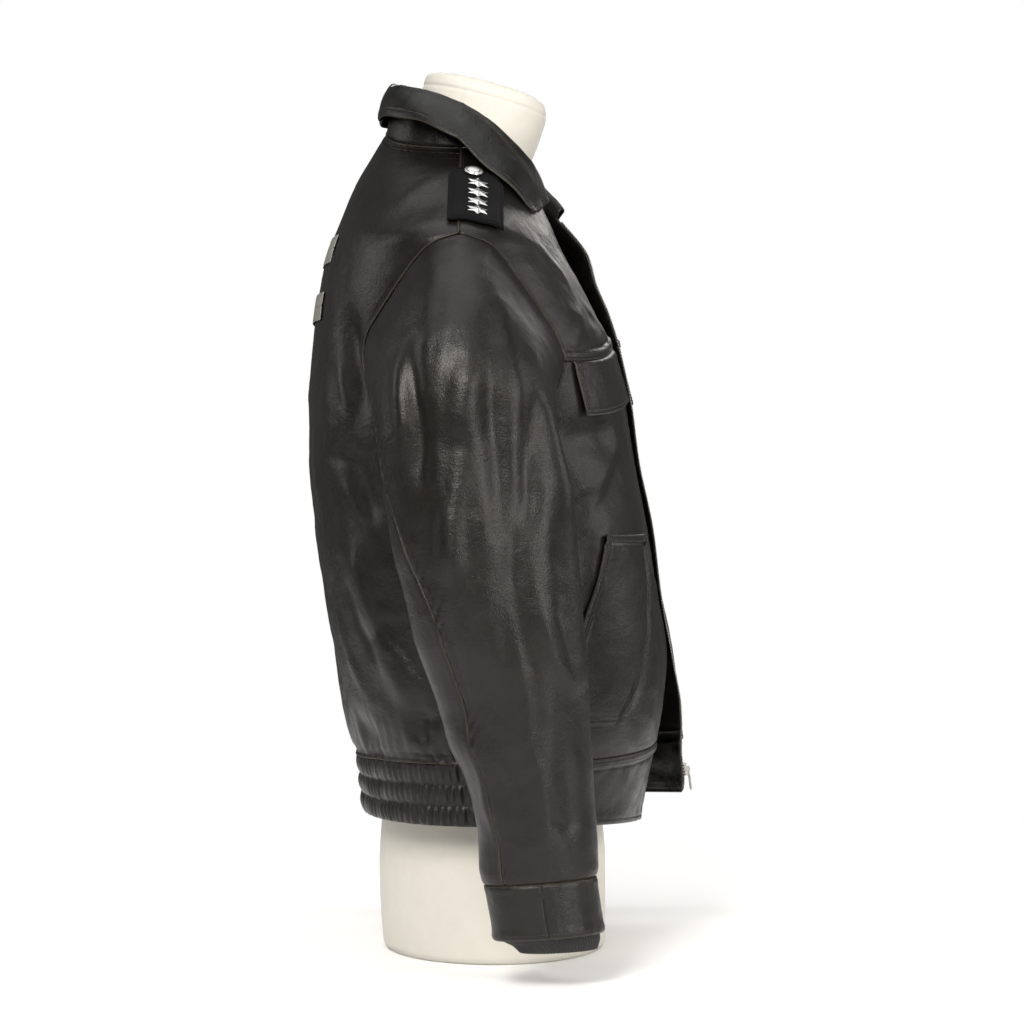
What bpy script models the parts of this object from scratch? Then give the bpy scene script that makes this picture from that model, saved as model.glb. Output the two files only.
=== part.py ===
"""Leather blouson worn open on a limbless linen dress form, in metres.

+Z is up, the front faces -Y and the wearer's right is -X. Every cloth piece is a wall on one
of two shared surfaces: the body, a stack of rounded sections, and the sleeve, a run of rings
that leaves the body at the armhole. The tables give those sections and rings, and the folds
move the surface in or out.
"""
import math
from bisect import bisect_right
from collections import namedtuple

import bmesh
import bpy
from mathutils import Matrix
from mathutils import Vector

COLLECTION = "leather_jacket_on_dress_form"
RIGHT = -1
LEFT = 1
SIDES = ((RIGHT, "right"), (LEFT, "left"))
FRONT = "front"
BACK = "back"
UP = Vector((0.0, 0.0, 1.0))

# Thickness of each cloth, and the gaps between pieces
LEATHER = 0.0016
COLLAR_LEATHER = 0.0022
STRAP_LEATHER = 0.0030
TAPE = 0.0010
KNIT = 0.0020
BAR = 0.0006
SEAM_GAP = 0.0003
LAID_GAP = 0.0009
STRAP_GAP = 0.0015
SLEEVE_GAP = 0.0010
BAND_GAP = 0.0012

# Sections of the body: y of the middle, the back and each front, at each height
Section = namedtuple("Section", "height half_width middle back front_right front_left power")
BODY = (
    Section(0.120, 0.199, -0.002, 0.129, -0.134, -0.174, 2.3),
    Section(0.156, 0.202, 0.000, 0.132, -0.141, -0.181, 2.3),
    Section(0.186, 0.207, 0.002, 0.136, -0.147, -0.178, 2.3),
    Section(0.206, 0.216, 0.006, 0.144, -0.151, -0.178, 2.3),
    Section(0.228, 0.220, 0.010, 0.150, -0.155, -0.177, 2.3),
    Section(0.268, 0.223, 0.014, 0.157, -0.158, -0.169, 2.3),
    Section(0.336, 0.227, 0.021, 0.167, -0.150, -0.157, 2.3),
    Section(0.400, 0.229, 0.025, 0.177, -0.141, -0.149, 2.25),
    Section(0.467, 0.230, 0.029, 0.182, -0.128, -0.135, 2.2),
    Section(0.520, 0.231, 0.031, 0.182, -0.120, -0.128, 2.2),
    Section(0.577, 0.234, 0.033, 0.179, -0.106, -0.116, 2.15),
    Section(0.610, 0.237, 0.034, 0.176, -0.089, -0.106, 2.1),
    Section(0.640, 0.239, 0.035, 0.170, -0.074, -0.094, 2.05),
    Section(0.658, 0.239, 0.0355, 0.166, -0.064, -0.090, 2.0),
    Section(0.6675, 0.235, 0.0356, 0.163, -0.059, -0.087, 2.0),
    Section(0.700, 0.182, 0.036, 0.151, -0.046, -0.064, 2.0),
    Section(0.730, 0.131, 0.0355, 0.139, -0.034, -0.042, 2.0),
    Section(0.760, 0.080, 0.035, 0.122, -0.012, -0.014, 2.0),
    Section(0.785, 0.062, 0.034, 0.107, -0.004, -0.004, 2.0),
)

# How far each open front edge lies from the middle line
Edge = namedtuple("Edge", "height right left")
FRONT_EDGES = (
    Edge(0.120, 0.040, 0.044),
    Edge(0.200, 0.034, 0.037),
    Edge(0.300, 0.026, 0.028),
    Edge(0.400, 0.021, 0.022),
    Edge(0.500, 0.019, 0.019),
    Edge(0.579, 0.022, 0.021),
    Edge(0.620, 0.031, 0.028),
    Edge(0.660, 0.042, 0.039),
    Edge(0.709, 0.055, 0.055),
)

# Seam levels of the body, with their heights at each front edge, centre back and side
Level = namedtuple("Level", "front_right front_left back side")
HEM = 0
BAND_SEAM = 1
ARMPIT = 2
CHEST_SEAM = 3
SHOULDER_TIP = 4
NECK = 5
LEVELS = (
    Level(0.124, 0.143, 0.133, 0.131),
    Level(0.197, 0.203, 0.186, 0.189),
    Level(0.500, 0.500, 0.500, 0.485),
    Level(0.577, 0.577, 0.565, 0.555),
    Level(0.665, 0.665, 0.700, 0.6675),
    Level(0.705, 0.705, 0.785, 0.760),
)
YOKE_SEAM = 4.87

# The armhole from armpit to shoulder tip: y of its front and back at each height
Hole = namedtuple("Hole", "height front back")
ARMHOLE = (
    Hole(0.485, 0.030, 0.030),
    Hole(0.4895, 0.000, 0.062),
    Hole(0.5130, -0.043, 0.109),
    Hole(0.555, -0.0595, 0.1265),
    Hole(0.578, -0.0525, 0.1205),
    Hole(0.598, -0.0395, 0.1080),
    Hole(0.615, -0.0275, 0.0965),
    Hole(0.632, -0.0150, 0.0845),
    Hole(0.648, -0.0030, 0.0720),
    Hole(0.660, 0.0125, 0.0580),
    Hole(0.6675, 0.0356, 0.0356),
)
CHEST_STEP = 3
TIP_STEP = len(ARMHOLE) - 1

# Rings of the sleeve, from below the armhole to the cuff seam. Tilt, in degrees, lifts the
# front of a ring, and drop lowers its inner side.
Ring = namedtuple("Ring", "height lateral centre_y width thickness tilt drop")
SLEEVE = (
    Ring(0.0930, 0.290, -0.0367, 0.0985, 0.0705, 4.6, 0.000),
    Ring(0.1030, 0.290, -0.0358, 0.1035, 0.0750, 3.4, 0.000),
    Ring(0.1290, 0.291, -0.0349, 0.1040, 0.0780, 2.0, 0.000),
    Ring(0.1590, 0.292, -0.0314, 0.1060, 0.0800, 2.9, 0.000),
    Ring(0.1880, 0.294, -0.0270, 0.1130, 0.0840, 3.6, 0.000),
    Ring(0.2180, 0.296, -0.0190, 0.1246, 0.0880, 5.0, 0.000),
    Ring(0.2480, 0.298, -0.0146, 0.1310, 0.0920, 5.0, 0.000),
    Ring(0.2780, 0.300, -0.0085, 0.1400, 0.0980, 4.7, 0.000),
    Ring(0.3080, 0.302, -0.0014, 0.1480, 0.1020, 4.5, 0.004),
    Ring(0.3540, 0.303, 0.0056, 0.1550, 0.1060, 6.0, 0.007),
    Ring(0.3850, 0.303, 0.0109, 0.1610, 0.1080, 7.0, 0.012),
    Ring(0.4200, 0.302, 0.0153, 0.1640, 0.1100, 8.5, 0.022),
    Ring(0.4450, 0.301, 0.0205, 0.1620, 0.1120, 9.0, 0.034),
    Ring(0.4750, 0.300, 0.0262, 0.1580, 0.1140, 9.0, 0.050),
)
CUFF = (
    Ring(0.0440, 0.289, -0.0446, 0.0975, 0.0700, 4.6, 0.000),
    Ring(0.0927, 0.290, -0.0367, 0.0985, 0.0705, 4.6, 0.000),
)
KNIT_CUFF = (
    Ring(0.0270, 0.288, -0.0530, 0.0700, 0.0520, 3.0, 0.000),
    Ring(0.0350, 0.288, -0.0510, 0.0780, 0.0570, 4.0, 0.000),
    Ring(0.0440, 0.289, -0.0458, 0.0880, 0.0620, 4.6, 0.000),
    Ring(0.0560, 0.289, -0.0430, 0.0941, 0.0666, 4.6, 0.000),
)
RING_POWER = 2.15
KNIT_RIBS = 16
RIB_HEIGHT = 0.0007

# Where the sleeve's rear seam runs round each ring, in degrees from the outer line
RearSeam = namedtuple("RearSeam", "height turn")
REAR_SEAM = (
    RearSeam(0.093, 322.0),
    RearSeam(0.305, 319.0),
    RearSeam(0.380, 303.0),
    RearSeam(0.475, 276.0),
)
FRONT_SEAM_TURN = 125.0
SEAM_AT_ARMHOLE = 268.0

# Folds: a ridge (depth over 0) or a trough along a line. On the body a place is its turn from
# the centre front in degrees and its height; side 0 folds both sides.
BodyFold = namedtuple("BodyFold", "side turn_a height_a turn_b height_b width depth")
BODY_FOLDS = (
    BodyFold(RIGHT, 139, 0.607, 123, 0.500, 0.017, -0.0090),
    BodyFold(RIGHT, 134, 0.483, 121, 0.400, 0.018, -0.0060),
    BodyFold(RIGHT, 147, 0.540, 140, 0.480, 0.022, 0.0040),
    BodyFold(RIGHT, 136, 0.391, 128, 0.303, 0.018, 0.0060),
    BodyFold(RIGHT, 128, 0.303, 112, 0.240, 0.018, 0.0060),
    BodyFold(RIGHT, 112, 0.240, 113, 0.205, 0.016, -0.0090),
    BodyFold(RIGHT, 135, 0.206, 150, 0.212, 0.016, -0.0060),
    BodyFold(RIGHT, 122, 0.215, 100, 0.212, 0.016, 0.0050),
    BodyFold(RIGHT, 28, 0.494, 60, 0.480, 0.018, -0.0060),
    BodyFold(RIGHT, 24, 0.470, 56, 0.400, 0.018, -0.0050),
    BodyFold(RIGHT, 40, 0.440, 62, 0.330, 0.020, 0.0045),
    BodyFold(RIGHT, 20, 0.300, 40, 0.205, 0.022, -0.0040),
    BodyFold(LEFT, 137, 0.600, 125, 0.495, 0.018, -0.0080),
    BodyFold(LEFT, 131, 0.470, 122, 0.380, 0.018, -0.0055),
    BodyFold(LEFT, 146, 0.530, 141, 0.470, 0.022, 0.0035),
    BodyFold(LEFT, 137, 0.370, 120, 0.260, 0.020, 0.0060),
    BodyFold(LEFT, 115, 0.245, 117, 0.205, 0.016, -0.0080),
    BodyFold(LEFT, 140, 0.210, 152, 0.214, 0.016, -0.0050),
    BodyFold(LEFT, 30, 0.488, 60, 0.474, 0.018, -0.0055),
    BodyFold(LEFT, 26, 0.460, 54, 0.385, 0.018, -0.0045),
    BodyFold(LEFT, 18, 0.290, 42, 0.215, 0.022, -0.0045),
    BodyFold(0, 172, 0.420, 164, 0.300, 0.030, 0.0030),
    BodyFold(0, 165, 0.500, 176, 0.240, 0.024, -0.0030),
)
# On the sleeve a place is how far across its outer face it lies, from the rear edge at -1
# to the front edge at 1, and its height; the last rows lie on the inner face.
SleeveFold = namedtuple("SleeveFold", "face across_a height_a across_b height_b width depth")
OUTER = 1
INNER = -1
LEFT_FOLD_DROP = 0.012
SLEEVE_FOLDS = (
    SleeveFold(OUTER, -0.66, 0.560, -0.64, 0.450, 0.011, 0.0050),
    SleeveFold(OUTER, -0.46, 0.550, -0.60, 0.430, 0.010, -0.0060),
    SleeveFold(OUTER, -0.20, 0.590, -0.46, 0.485, 0.011, 0.0040),
    SleeveFold(OUTER, -0.12, 0.540, -0.30, 0.400, 0.011, -0.0040),
    SleeveFold(OUTER, 0.05, 0.530, -0.13, 0.455, 0.014, 0.0050),
    SleeveFold(OUTER, -0.13, 0.455, -0.40, 0.350, 0.013, 0.0040),
    SleeveFold(OUTER, 0.25, 0.500, 0.10, 0.400, 0.015, -0.0040),
    SleeveFold(OUTER, 0.78, 0.500, 0.44, 0.390, 0.013, -0.0060),
    SleeveFold(OUTER, 0.90, 0.520, 0.86, 0.380, 0.014, 0.0040),
    SleeveFold(OUTER, 0.17, 0.330, 0.12, 0.120, 0.013, 0.0045),
    SleeveFold(OUTER, 0.46, 0.340, 0.82, 0.250, 0.012, 0.0045),
    SleeveFold(OUTER, -0.66, 0.240, -0.64, 0.125, 0.012, 0.0045),
    SleeveFold(OUTER, -0.25, 0.300, -0.30, 0.150, 0.013, -0.0040),
    SleeveFold(OUTER, 0.50, 0.220, 0.48, 0.120, 0.012, -0.0035),
    SleeveFold(INNER, 0.30, 0.420, 0.60, 0.320, 0.016, -0.0040),
    SleeveFold(INNER, -0.20, 0.400, -0.45, 0.280, 0.016, 0.0040),
    SleeveFold(INNER, 0.10, 0.280, 0.20, 0.150, 0.016, -0.0035),
)

# Collar, from the centre back (0) past the neck side (0.5) to the front end (1): its roll
# rises over the neckline and leans in, and its edge falls out along a turn from the front
Lapel = namedtuple("Lapel", "place rise lean out fall turn")
COLLAR = (
    Lapel(0.00, 0.0440, 0.010, 0.0110, 0.0050, 180.0),
    Lapel(0.25, 0.0430, 0.008, 0.0170, 0.0030, 138.0),
    Lapel(0.50, 0.0400, 0.004, 0.0360, -0.0020, 96.0),
    Lapel(0.75, 0.0250, 0.001, 0.0520, -0.0120, 97.0),
    Lapel(1.00, 0.0110, 0.000, 0.0600, -0.0140, 97.0),
)
ROLL_RADIUS = 0.0050
FALL_BEND = (0.004, 0.003)
COLLAR_REST = 0.0027
CROWN_SQUARE = 0.8
COLLAR_STATIONS = 12
STATION_POWER = 1.25
COLLAR_LIFT = 0.0014

# Shoulder slide: a wide strap loop across the shoulder line, with its button and stars
STRAP_INNER = 0.126
STRAP_OUTER = 0.2225
STRAP_MIDDLE_Y = 0.022
STRAP_HALF = 0.0235
BUTTON_PLACE = (0.134, 0.0245)
BUTTON_RADIUS = 0.0088
BUTTON_HEIGHT = 0.0045
STAR_Y = 0.0205
STAR_PLACES = (0.1535, 0.1710, 0.1885, 0.2060)
STAR_POINTS = 6
STAR_RADIUS = 0.0098
STAR_WAIST = 0.0057
STAR_RIM = 0.0010
STAR_PEAK = 0.0024

# Chest flap: how far each row lies below the chest seam, and its ends across the front
FlapRow = namedtuple("FlapRow", "drop front_end side_end proud")
CHEST_FLAP = (
    FlapRow(0.0500, 0.13, 0.88, 0.0024),
    FlapRow(0.0360, 0.12, 0.90, 0.0016),
    FlapRow(0.0210, 0.12, 0.91, 0.0006),
    FlapRow(0.0060, 0.12, 0.92, -0.0004),
)
# Slanted patch pocket: turn of its front and side ends at each height
PatchRow = namedtuple("PatchRow", "height front_turn side_turn proud")
POCKET = (
    PatchRow(0.2220, 46.0, 75.0, 0.0000),
    PatchRow(0.2400, 43.0, 73.0, 0.0004),
    PatchRow(0.2620, 39.0, 70.0, 0.0008),
    PatchRow(0.2820, 35.5, 66.5, 0.0010),
    PatchRow(0.3020, 32.0, 63.0, 0.0012),
    PatchRow(0.3240, 28.5, 59.0, 0.0010),
    PatchRow(0.3460, 25.0, 55.0, 0.0008),
    PatchRow(0.3700, 22.0, 51.0, 0.0004),
    PatchRow(0.3950, 20.0, 47.0, 0.0000),
)

# Plain reflective bars on the back, centred, by their height and half length
ReflectiveBar = namedtuple("ReflectiveBar", "name low high half_turn")
REFLECTIVE_BARS = (
    ReflectiveBar("reflective_bar_upper", 0.651, 0.677, 24.0),
    ReflectiveBar("reflective_bar_lower", 0.597, 0.623, 24.0),
)

# Zip along the open edges, with its slider at the foot of the left half
TAPE_WIDTH = 0.010
SLIDER_LEVEL = 0.38
SLIDER_SIZE = (0.0088, 0.0120, 0.0030)
EAR_SIZE = (0.0012, 0.0040, 0.0034)
EAR_SPREAD = 0.0062
PIN_RADIUS = 0.0012
PIN_HEIGHT = 0.0036
PULL_WIDTH = 0.0070
PULL_LENGTH = 0.0140
PULL_THICKNESS = 0.0014
PULL_PLAY = 0.0004
PULL_NECK = (0.0075, 0.0037)
PULL_PLATE_TOP = 0.0068
EAR_SINK = 0.0004
METAL_ROUNDING = 0.0004

# Elastic back band: gathers between three rows of stitching
BAND_TIERS = 3
BAND_GATHERS = 28
TIER_PUFF = 0.0020
GATHER_DEPTH = 0.0013

# Dress form: torso sections, then the shoulders under the cloth, then the leaning neck.
# Slope is the rise of a ring towards the back.
FormSection = namedtuple("FormSection", "height half_width front middle back slope power")
FORM = (
    FormSection(0.000, 0.1560, -0.098, 0.004, 0.108, 0.00, 2.0),
    FormSection(0.006, 0.1600, -0.102, 0.004, 0.112, 0.00, 2.0),
    FormSection(0.080, 0.1630, -0.102, 0.004, 0.116, 0.00, 2.0),
    FormSection(0.180, 0.1480, -0.092, 0.006, 0.108, 0.00, 2.0),
    FormSection(0.270, 0.1420, -0.088, 0.008, 0.106, 0.00, 2.0),
    FormSection(0.380, 0.1560, -0.094, 0.014, 0.122, 0.00, 2.0),
    FormSection(0.480, 0.1710, -0.098, 0.022, 0.140, 0.00, 2.0),
    FormSection(0.560, 0.1840, -0.084, 0.028, 0.146, 0.00, 2.0),
    FormSection(0.620, 0.1980, -0.062, 0.034, 0.142, 0.00, 2.0),
    FormSection(0.655, 0.2060, -0.047, 0.0356, 0.136, 0.00, 1.9),
    FormSection(0.675, 0.2020, -0.041, 0.0358, 0.130, 0.00, 1.8),
    FormSection(0.700, 0.1750, -0.036, 0.036, 0.124, 0.00, 1.65),
    FormSection(0.730, 0.1220, -0.031, 0.0355, 0.116, 0.02, 1.55),
    FormSection(0.752, 0.0850, -0.030, 0.032, 0.106, 0.06, 1.5),
    FormSection(0.772, 0.0650, -0.035, 0.024, 0.092, 0.12, 1.8),
    FormSection(0.795, 0.0590, -0.041, 0.017, 0.079, 0.20, 2.0),
    FormSection(0.815, 0.0575, -0.045, 0.014, 0.0735, 0.26, 2.0),
    FormSection(0.824, 0.0545, -0.043, 0.013, 0.0700, 0.26, 2.0),
    FormSection(0.828, 0.0470, -0.036, 0.012, 0.0610, 0.26, 2.0),
)
FORM_COLUMNS = 22
SEAT_DROP = 0.0018
SEAT_FROM = 0.685
SEAT_FULL = 0.702
SEAT_TO = 0.745
SEAT_END = 0.757

# Colours (linear), with roughness and metallic value
Finish = namedtuple("Finish", "name colour roughness metallic")
LEATHER_FINISH = Finish("black_leather", (0.018, 0.017, 0.016), 0.45, 0.0)
KNIT_FINISH = Finish("black_knit", (0.012, 0.012, 0.012), 0.9, 0.0)
LINEN_FINISH = Finish("linen", (0.80, 0.77, 0.70), 0.9, 0.0)
STAR_FINISH = Finish("silver_star", (0.62, 0.62, 0.60), 0.3, 1.0)
BUTTON_FINISH = Finish("silver_button", (0.60, 0.60, 0.58), 0.35, 1.0)
TAPE_FINISH = Finish("zip_tape", (0.015, 0.015, 0.015), 0.85, 0.0)
ZIP_FINISH = Finish("zip_metal", (0.45, 0.44, 0.42), 0.35, 1.0)
BAR_FINISH = Finish("reflective_silver", (0.42, 0.41, 0.38), 0.4, 0.2)


class Curve:
    """One column of a table, read along another column without overshoot."""

    def __init__(self, table, along, column):
        self.stops = [getattr(row, along) for row in table]
        self.values = [getattr(row, column) for row in table]
        rises = []
        for index in range(len(table) - 1):
            span = self.stops[index + 1] - self.stops[index]
            rises.append((self.values[index + 1] - self.values[index]) / span)
        self.slopes = [rises[0]]
        for before, after in zip(rises, rises[1:]):
            level = before * after <= 0.0
            self.slopes.append(0.0 if level else 2.0 * before * after / (before + after))
        self.slopes.append(rises[-1])

    def __call__(self, at):
        if at <= self.stops[0]:
            return self.values[0]
        if at >= self.stops[-1]:
            return self.values[-1]
        index = bisect_right(self.stops, at) - 1
        span = self.stops[index + 1] - self.stops[index]
        t = (at - self.stops[index]) / span
        start, end = self.values[index], self.values[index + 1]
        lead, trail = self.slopes[index] * span, self.slopes[index + 1] * span
        return hermite(start, end, lead, trail, t)


def hermite(start, end, lead, trail, t):
    """Point at t on the curve that leaves start along lead and reaches end along trail."""
    return (
        start * (2 * t**3 - 3 * t**2 + 1)
        + end * (3 * t**2 - 2 * t**3)
        + lead * (t**3 - 2 * t**2 + t)
        + trail * (t**3 - t**2)
    )


def curves(table, along):
    """A Curve for every column of a table, by name."""
    return {name: Curve(table, along, name) for name in table[0]._fields}


BODY_AT = curves(BODY, "height")
EDGE_AT = curves(FRONT_EDGES, "height")
SLEEVE_AT = curves(SLEEVE, "height")
CUFF_AT = curves(CUFF, "height")
KNIT_AT = curves(KNIT_CUFF, "height")
REAR_SEAM_AT = curves(REAR_SEAM, "height")
COLLAR_AT = curves(COLLAR, "place")
FORM_AT = curves(FORM, "height")
MEAN_RADIUS = 0.185
NUDGE = 0.004
MERGE_REACH = 0.00002


def blend(start, end, share):
    """Value or point between two others."""
    return start + (end - start) * share


def smooth_step(low, high, at):
    """0 below low, 1 above high, and an even S between."""
    t = min(max((at - low) / (high - low), 0.0), 1.0)
    return t * t * (3.0 - 2.0 * t)


def steps(start, end, count):
    """Count equal steps from start to end, both ends included."""
    return [blend(start, end, index / count) for index in range(count + 1)]


# The body surface

def front_reach(side, height):
    """How far the front of a section lies before its middle."""
    return BODY_AT["middle"](height) - BODY_AT[front_name(side)](height)


def back_reach(height):
    """How far the back of a section lies behind its middle."""
    return BODY_AT["back"](height) - BODY_AT["middle"](height)


def body_base(side, turn, height):
    """Point of the smooth body at a turn, from centre front (0) to centre back (pi)."""
    bow = 2.0 / BODY_AT["power"](height)
    across = BODY_AT["half_width"](height) * math.sin(turn) ** bow
    depth = abs(math.cos(turn)) ** bow
    if turn < math.pi / 2:
        y = BODY_AT["middle"](height) - front_reach(side, height) * depth
    else:
        y = BODY_AT["middle"](height) + back_reach(height) * depth
    return Vector((side * across, y, height))


def fold_share(ax, ay, bx, by, width, x, y):
    """How strongly a fold along a line acts at a place: 1 on the line, fading each way."""
    run_x, run_y = bx - ax, by - ay
    length = run_x * run_x + run_y * run_y
    t = min(max(((x - ax) * run_x + (y - ay) * run_y) / length, 0.0), 1.0)
    gap = (x - ax - t * run_x) ** 2 + (y - ay - t * run_y) ** 2
    return math.exp(-gap / (width * width))


def body_fold(side, turn, height):
    """How far the folds move the body surface out at a place."""
    x = turn * MEAN_RADIUS
    total = 0.0
    for fold in BODY_FOLDS:
        if fold.side in (side, 0):
            ax = math.radians(fold.turn_a) * MEAN_RADIUS
            bx = math.radians(fold.turn_b) * MEAN_RADIUS
            share = fold_share(ax, fold.height_a, bx, fold.height_b, fold.width, x, height)
            total += fold.depth * share
    return total


def body_normal(side, turn, height):
    """Direction out of the smooth body at a place."""
    low, high = max(turn - NUDGE, 0.0), min(turn + NUDGE, math.pi)
    by_turn = body_base(side, high, height) - body_base(side, low, height)
    by_height = body_base(side, turn, height + NUDGE) - body_base(side, turn, height - NUDGE)
    return (side * by_turn.cross(by_height)).normalized()


def body_point(side, turn, height, out=0.0):
    """Point of the folded body cloth, moved out by a distance."""
    reach = body_fold(side, turn, height) + out
    return body_base(side, turn, height) + body_normal(side, turn, height) * reach


def turn_at_x(height, across):
    """Turn, on the front, at which a section is this far from the middle line."""
    share = across / BODY_AT["half_width"](height)
    return math.asin(share ** (BODY_AT["power"](height) / 2.0))


def turn_at_y(side, height, y):
    """Turn at which a section has this y."""
    middle = BODY_AT["middle"](height)
    power = BODY_AT["power"](height) / 2.0
    if y < middle:
        return math.acos(min((middle - y) / front_reach(side, height), 1.0) ** power)
    return math.pi - math.acos(min((y - middle) / back_reach(height), 1.0) ** power)


def edge_x(side, height):
    """Distance of a front edge from the middle line."""
    return EDGE_AT["right" if side == RIGHT else "left"](height)


def armhole_step(level):
    """Place along the armhole table of a seam level between armpit and shoulder tip."""
    if level <= CHEST_SEAM:
        return (level - ARMPIT) * CHEST_STEP
    return CHEST_STEP + (level - CHEST_SEAM) * (TIP_STEP - CHEST_STEP)


def side_end(side, face, level):
    """Turn and height where a row of a panel ends, at the side seam, armhole or shoulder."""
    if ARMPIT < level < SHOULDER_TIP:
        step = armhole_step(level)
        index = min(int(step), TIP_STEP - 1)
        share = step - index
        low, high = ARMHOLE[index], ARMHOLE[index + 1]
        height = blend(low.height, high.height, share)
        y = blend(getattr(low, face), getattr(high, face), share)
        return turn_at_y(side, height, y), height
    index = min(int(level), NECK - 1)
    return math.pi / 2, blend(LEVELS[index].side, LEVELS[index + 1].side, level - index)


def front_name(side):
    """Name of a front's column in the tables."""
    return "front_right" if side == RIGHT else "front_left"


def inner_height(side, face, level):
    """Height of a row at the front edge or the centre back."""
    index = min(int(level), NECK - 1)
    name = front_name(side) if face == FRONT else BACK
    start, end = getattr(LEVELS[index], name), getattr(LEVELS[index + 1], name)
    return blend(start, end, level - index)


def panel_place(side, face, across, level):
    """Turn and height of a place on a panel: across runs from its inner edge to the side."""
    outer_turn, outer_height = side_end(side, face, level)
    height_in = inner_height(side, face, level)
    turn_in = turn_at_x(height_in, edge_x(side, height_in)) if face == FRONT else math.pi
    height = blend(outer_height, height_in, (1.0 - across) ** 2)
    return blend(turn_in, outer_turn, across), height


def panel_point(side, face, across, level, out=0.0):
    """Point of the body cloth at a place on a panel."""
    turn, height = panel_place(side, face, across, level)
    return body_point(side, turn, height, out)


# The shoulder seen from above

def outside_section(side, x, y, height):
    """Over 0 where a point lies outside the section at a height."""
    middle = BODY_AT["middle"](height)
    reach = front_reach(side, height) if y < middle else back_reach(height)
    power = BODY_AT["power"](height)
    return (x / BODY_AT["half_width"](height)) ** power + (abs(y - middle) / reach) ** power - 1.0


def shoulder_height(side, x, y):
    """Height of the smooth shoulder at a distance x from the middle line, by halving."""
    low, high = LEVELS[ARMPIT].side, LEVELS[NECK].back
    for _ in range(30):
        middle = (low + high) / 2.0
        if outside_section(side, x, y, middle) > 0.0:
            high = middle
        else:
            low = middle
    return low


def shoulder_point(side, x, y, out=0.0):
    """Point over the shoulder, moved out along its slope."""
    height = shoulder_height(side, x, y)
    by_x = (shoulder_height(side, x + NUDGE, y) - shoulder_height(side, x - NUDGE, y)) / (2 * NUDGE)
    by_y = (shoulder_height(side, x, y + NUDGE) - shoulder_height(side, x, y - NUDGE)) / (2 * NUDGE)
    normal = Vector((-by_x, -by_y, 1.0)).normalized()
    point = Vector((x, y, height)) + normal * out
    return Vector((side * point.x, point.y, point.z))


# The sleeve surface

def armhole_points(side):
    """Corner points of the armhole from the shoulder tip down the front and up the back."""
    points = []
    for face in (FRONT, BACK):
        run = []
        for step in range(TIP_STEP + 1):
            share = step / CHEST_STEP if step <= CHEST_STEP else \
                1.0 + (step - CHEST_STEP) / (TIP_STEP - CHEST_STEP)
            run.append(panel_point(side, face, 1.0, ARMPIT + share))
        points.append(run)
    front, back = points
    return front[::-1] + back[1:]


class Armhole:
    """The armhole's corner points, read by the turn round the sleeve."""

    def __init__(self, side):
        self.points = armhole_points(side)
        lengths = [0.0]
        for start, end in zip(self.points, self.points[1:]):
            lengths.append(lengths[-1] + (end - start).length)
        pit = lengths[TIP_STEP]
        self.turns = []
        for length in lengths:
            if length <= pit:
                self.turns.append(math.pi * length / pit)
            else:
                self.turns.append(math.pi * (1.0 + (length - pit) / (lengths[-1] - pit)))
        self.centre = sum(self.points[:-1], Vector()) / (len(self.points) - 1)

    def at(self, turn):
        """Point at a turn, moved into the hole to clear the panel's edge."""
        turn = turn % (2.0 * math.pi)
        index = min(bisect_right(self.turns, turn) - 1, len(self.turns) - 2)
        span = self.turns[index + 1] - self.turns[index]
        point = blend(self.points[index], self.points[index + 1], (turn - self.turns[index]) / span)
        inward = self.centre - point
        inward.x = 0.0
        under = (1.0 - math.cos(turn)) / 2.0
        clear = SEAM_GAP + LEATHER / 2 * (1.1 + 0.5 * under)
        return point + inward.normalized() * clear


ARMHOLES = {side: Armhole(side) for side, name in SIDES}


def ring_point(side, table, height, turn, out=0.0):
    """Point of a ring: turn 0 is its outer line, pi / 2 its front, pi its inner line."""
    bow = 2.0 / RING_POWER
    tilt = math.radians(table["tilt"](height))
    centre = Vector((side * table["lateral"](height), table["centre_y"](height), height))
    half = table["width"](height) / 2 + out
    fore = Vector((0.0, -math.cos(tilt), math.sin(tilt))) * half
    span = table["thickness"](height) / 2 + out
    outer = Vector((side * span, 0.0, table["drop"](height) / 2))
    cosine, sine = math.cos(turn), math.sin(turn)
    return (
        centre
        + outer * math.copysign(abs(cosine) ** bow, cosine)
        + fore * math.copysign(abs(sine) ** bow, sine)
    )


def sleeve_fold(side, turn, height):
    """How far the folds move the sleeve out; the left sleeve's lie a little lower."""
    face = OUTER if math.cos(turn) >= 0.0 else INNER
    half = SLEEVE_AT["width"](height) / 2
    x = math.sin(turn) * half
    if side == LEFT:
        height += LEFT_FOLD_DROP
    total = 0.0
    for fold in SLEEVE_FOLDS:
        if fold.face == face:
            ax, bx = fold.across_a * half, fold.across_b * half
            share = fold_share(ax, fold.height_a, bx, fold.height_b, fold.width, x, height)
            total += fold.depth * share
    return total * min(abs(math.cos(turn)) * 2.5, 1.0)


SLEEVE_TOP = SLEEVE[-1].height
SLEEVE_END = SLEEVE[0].height
CAP_PULL = 0.62


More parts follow.
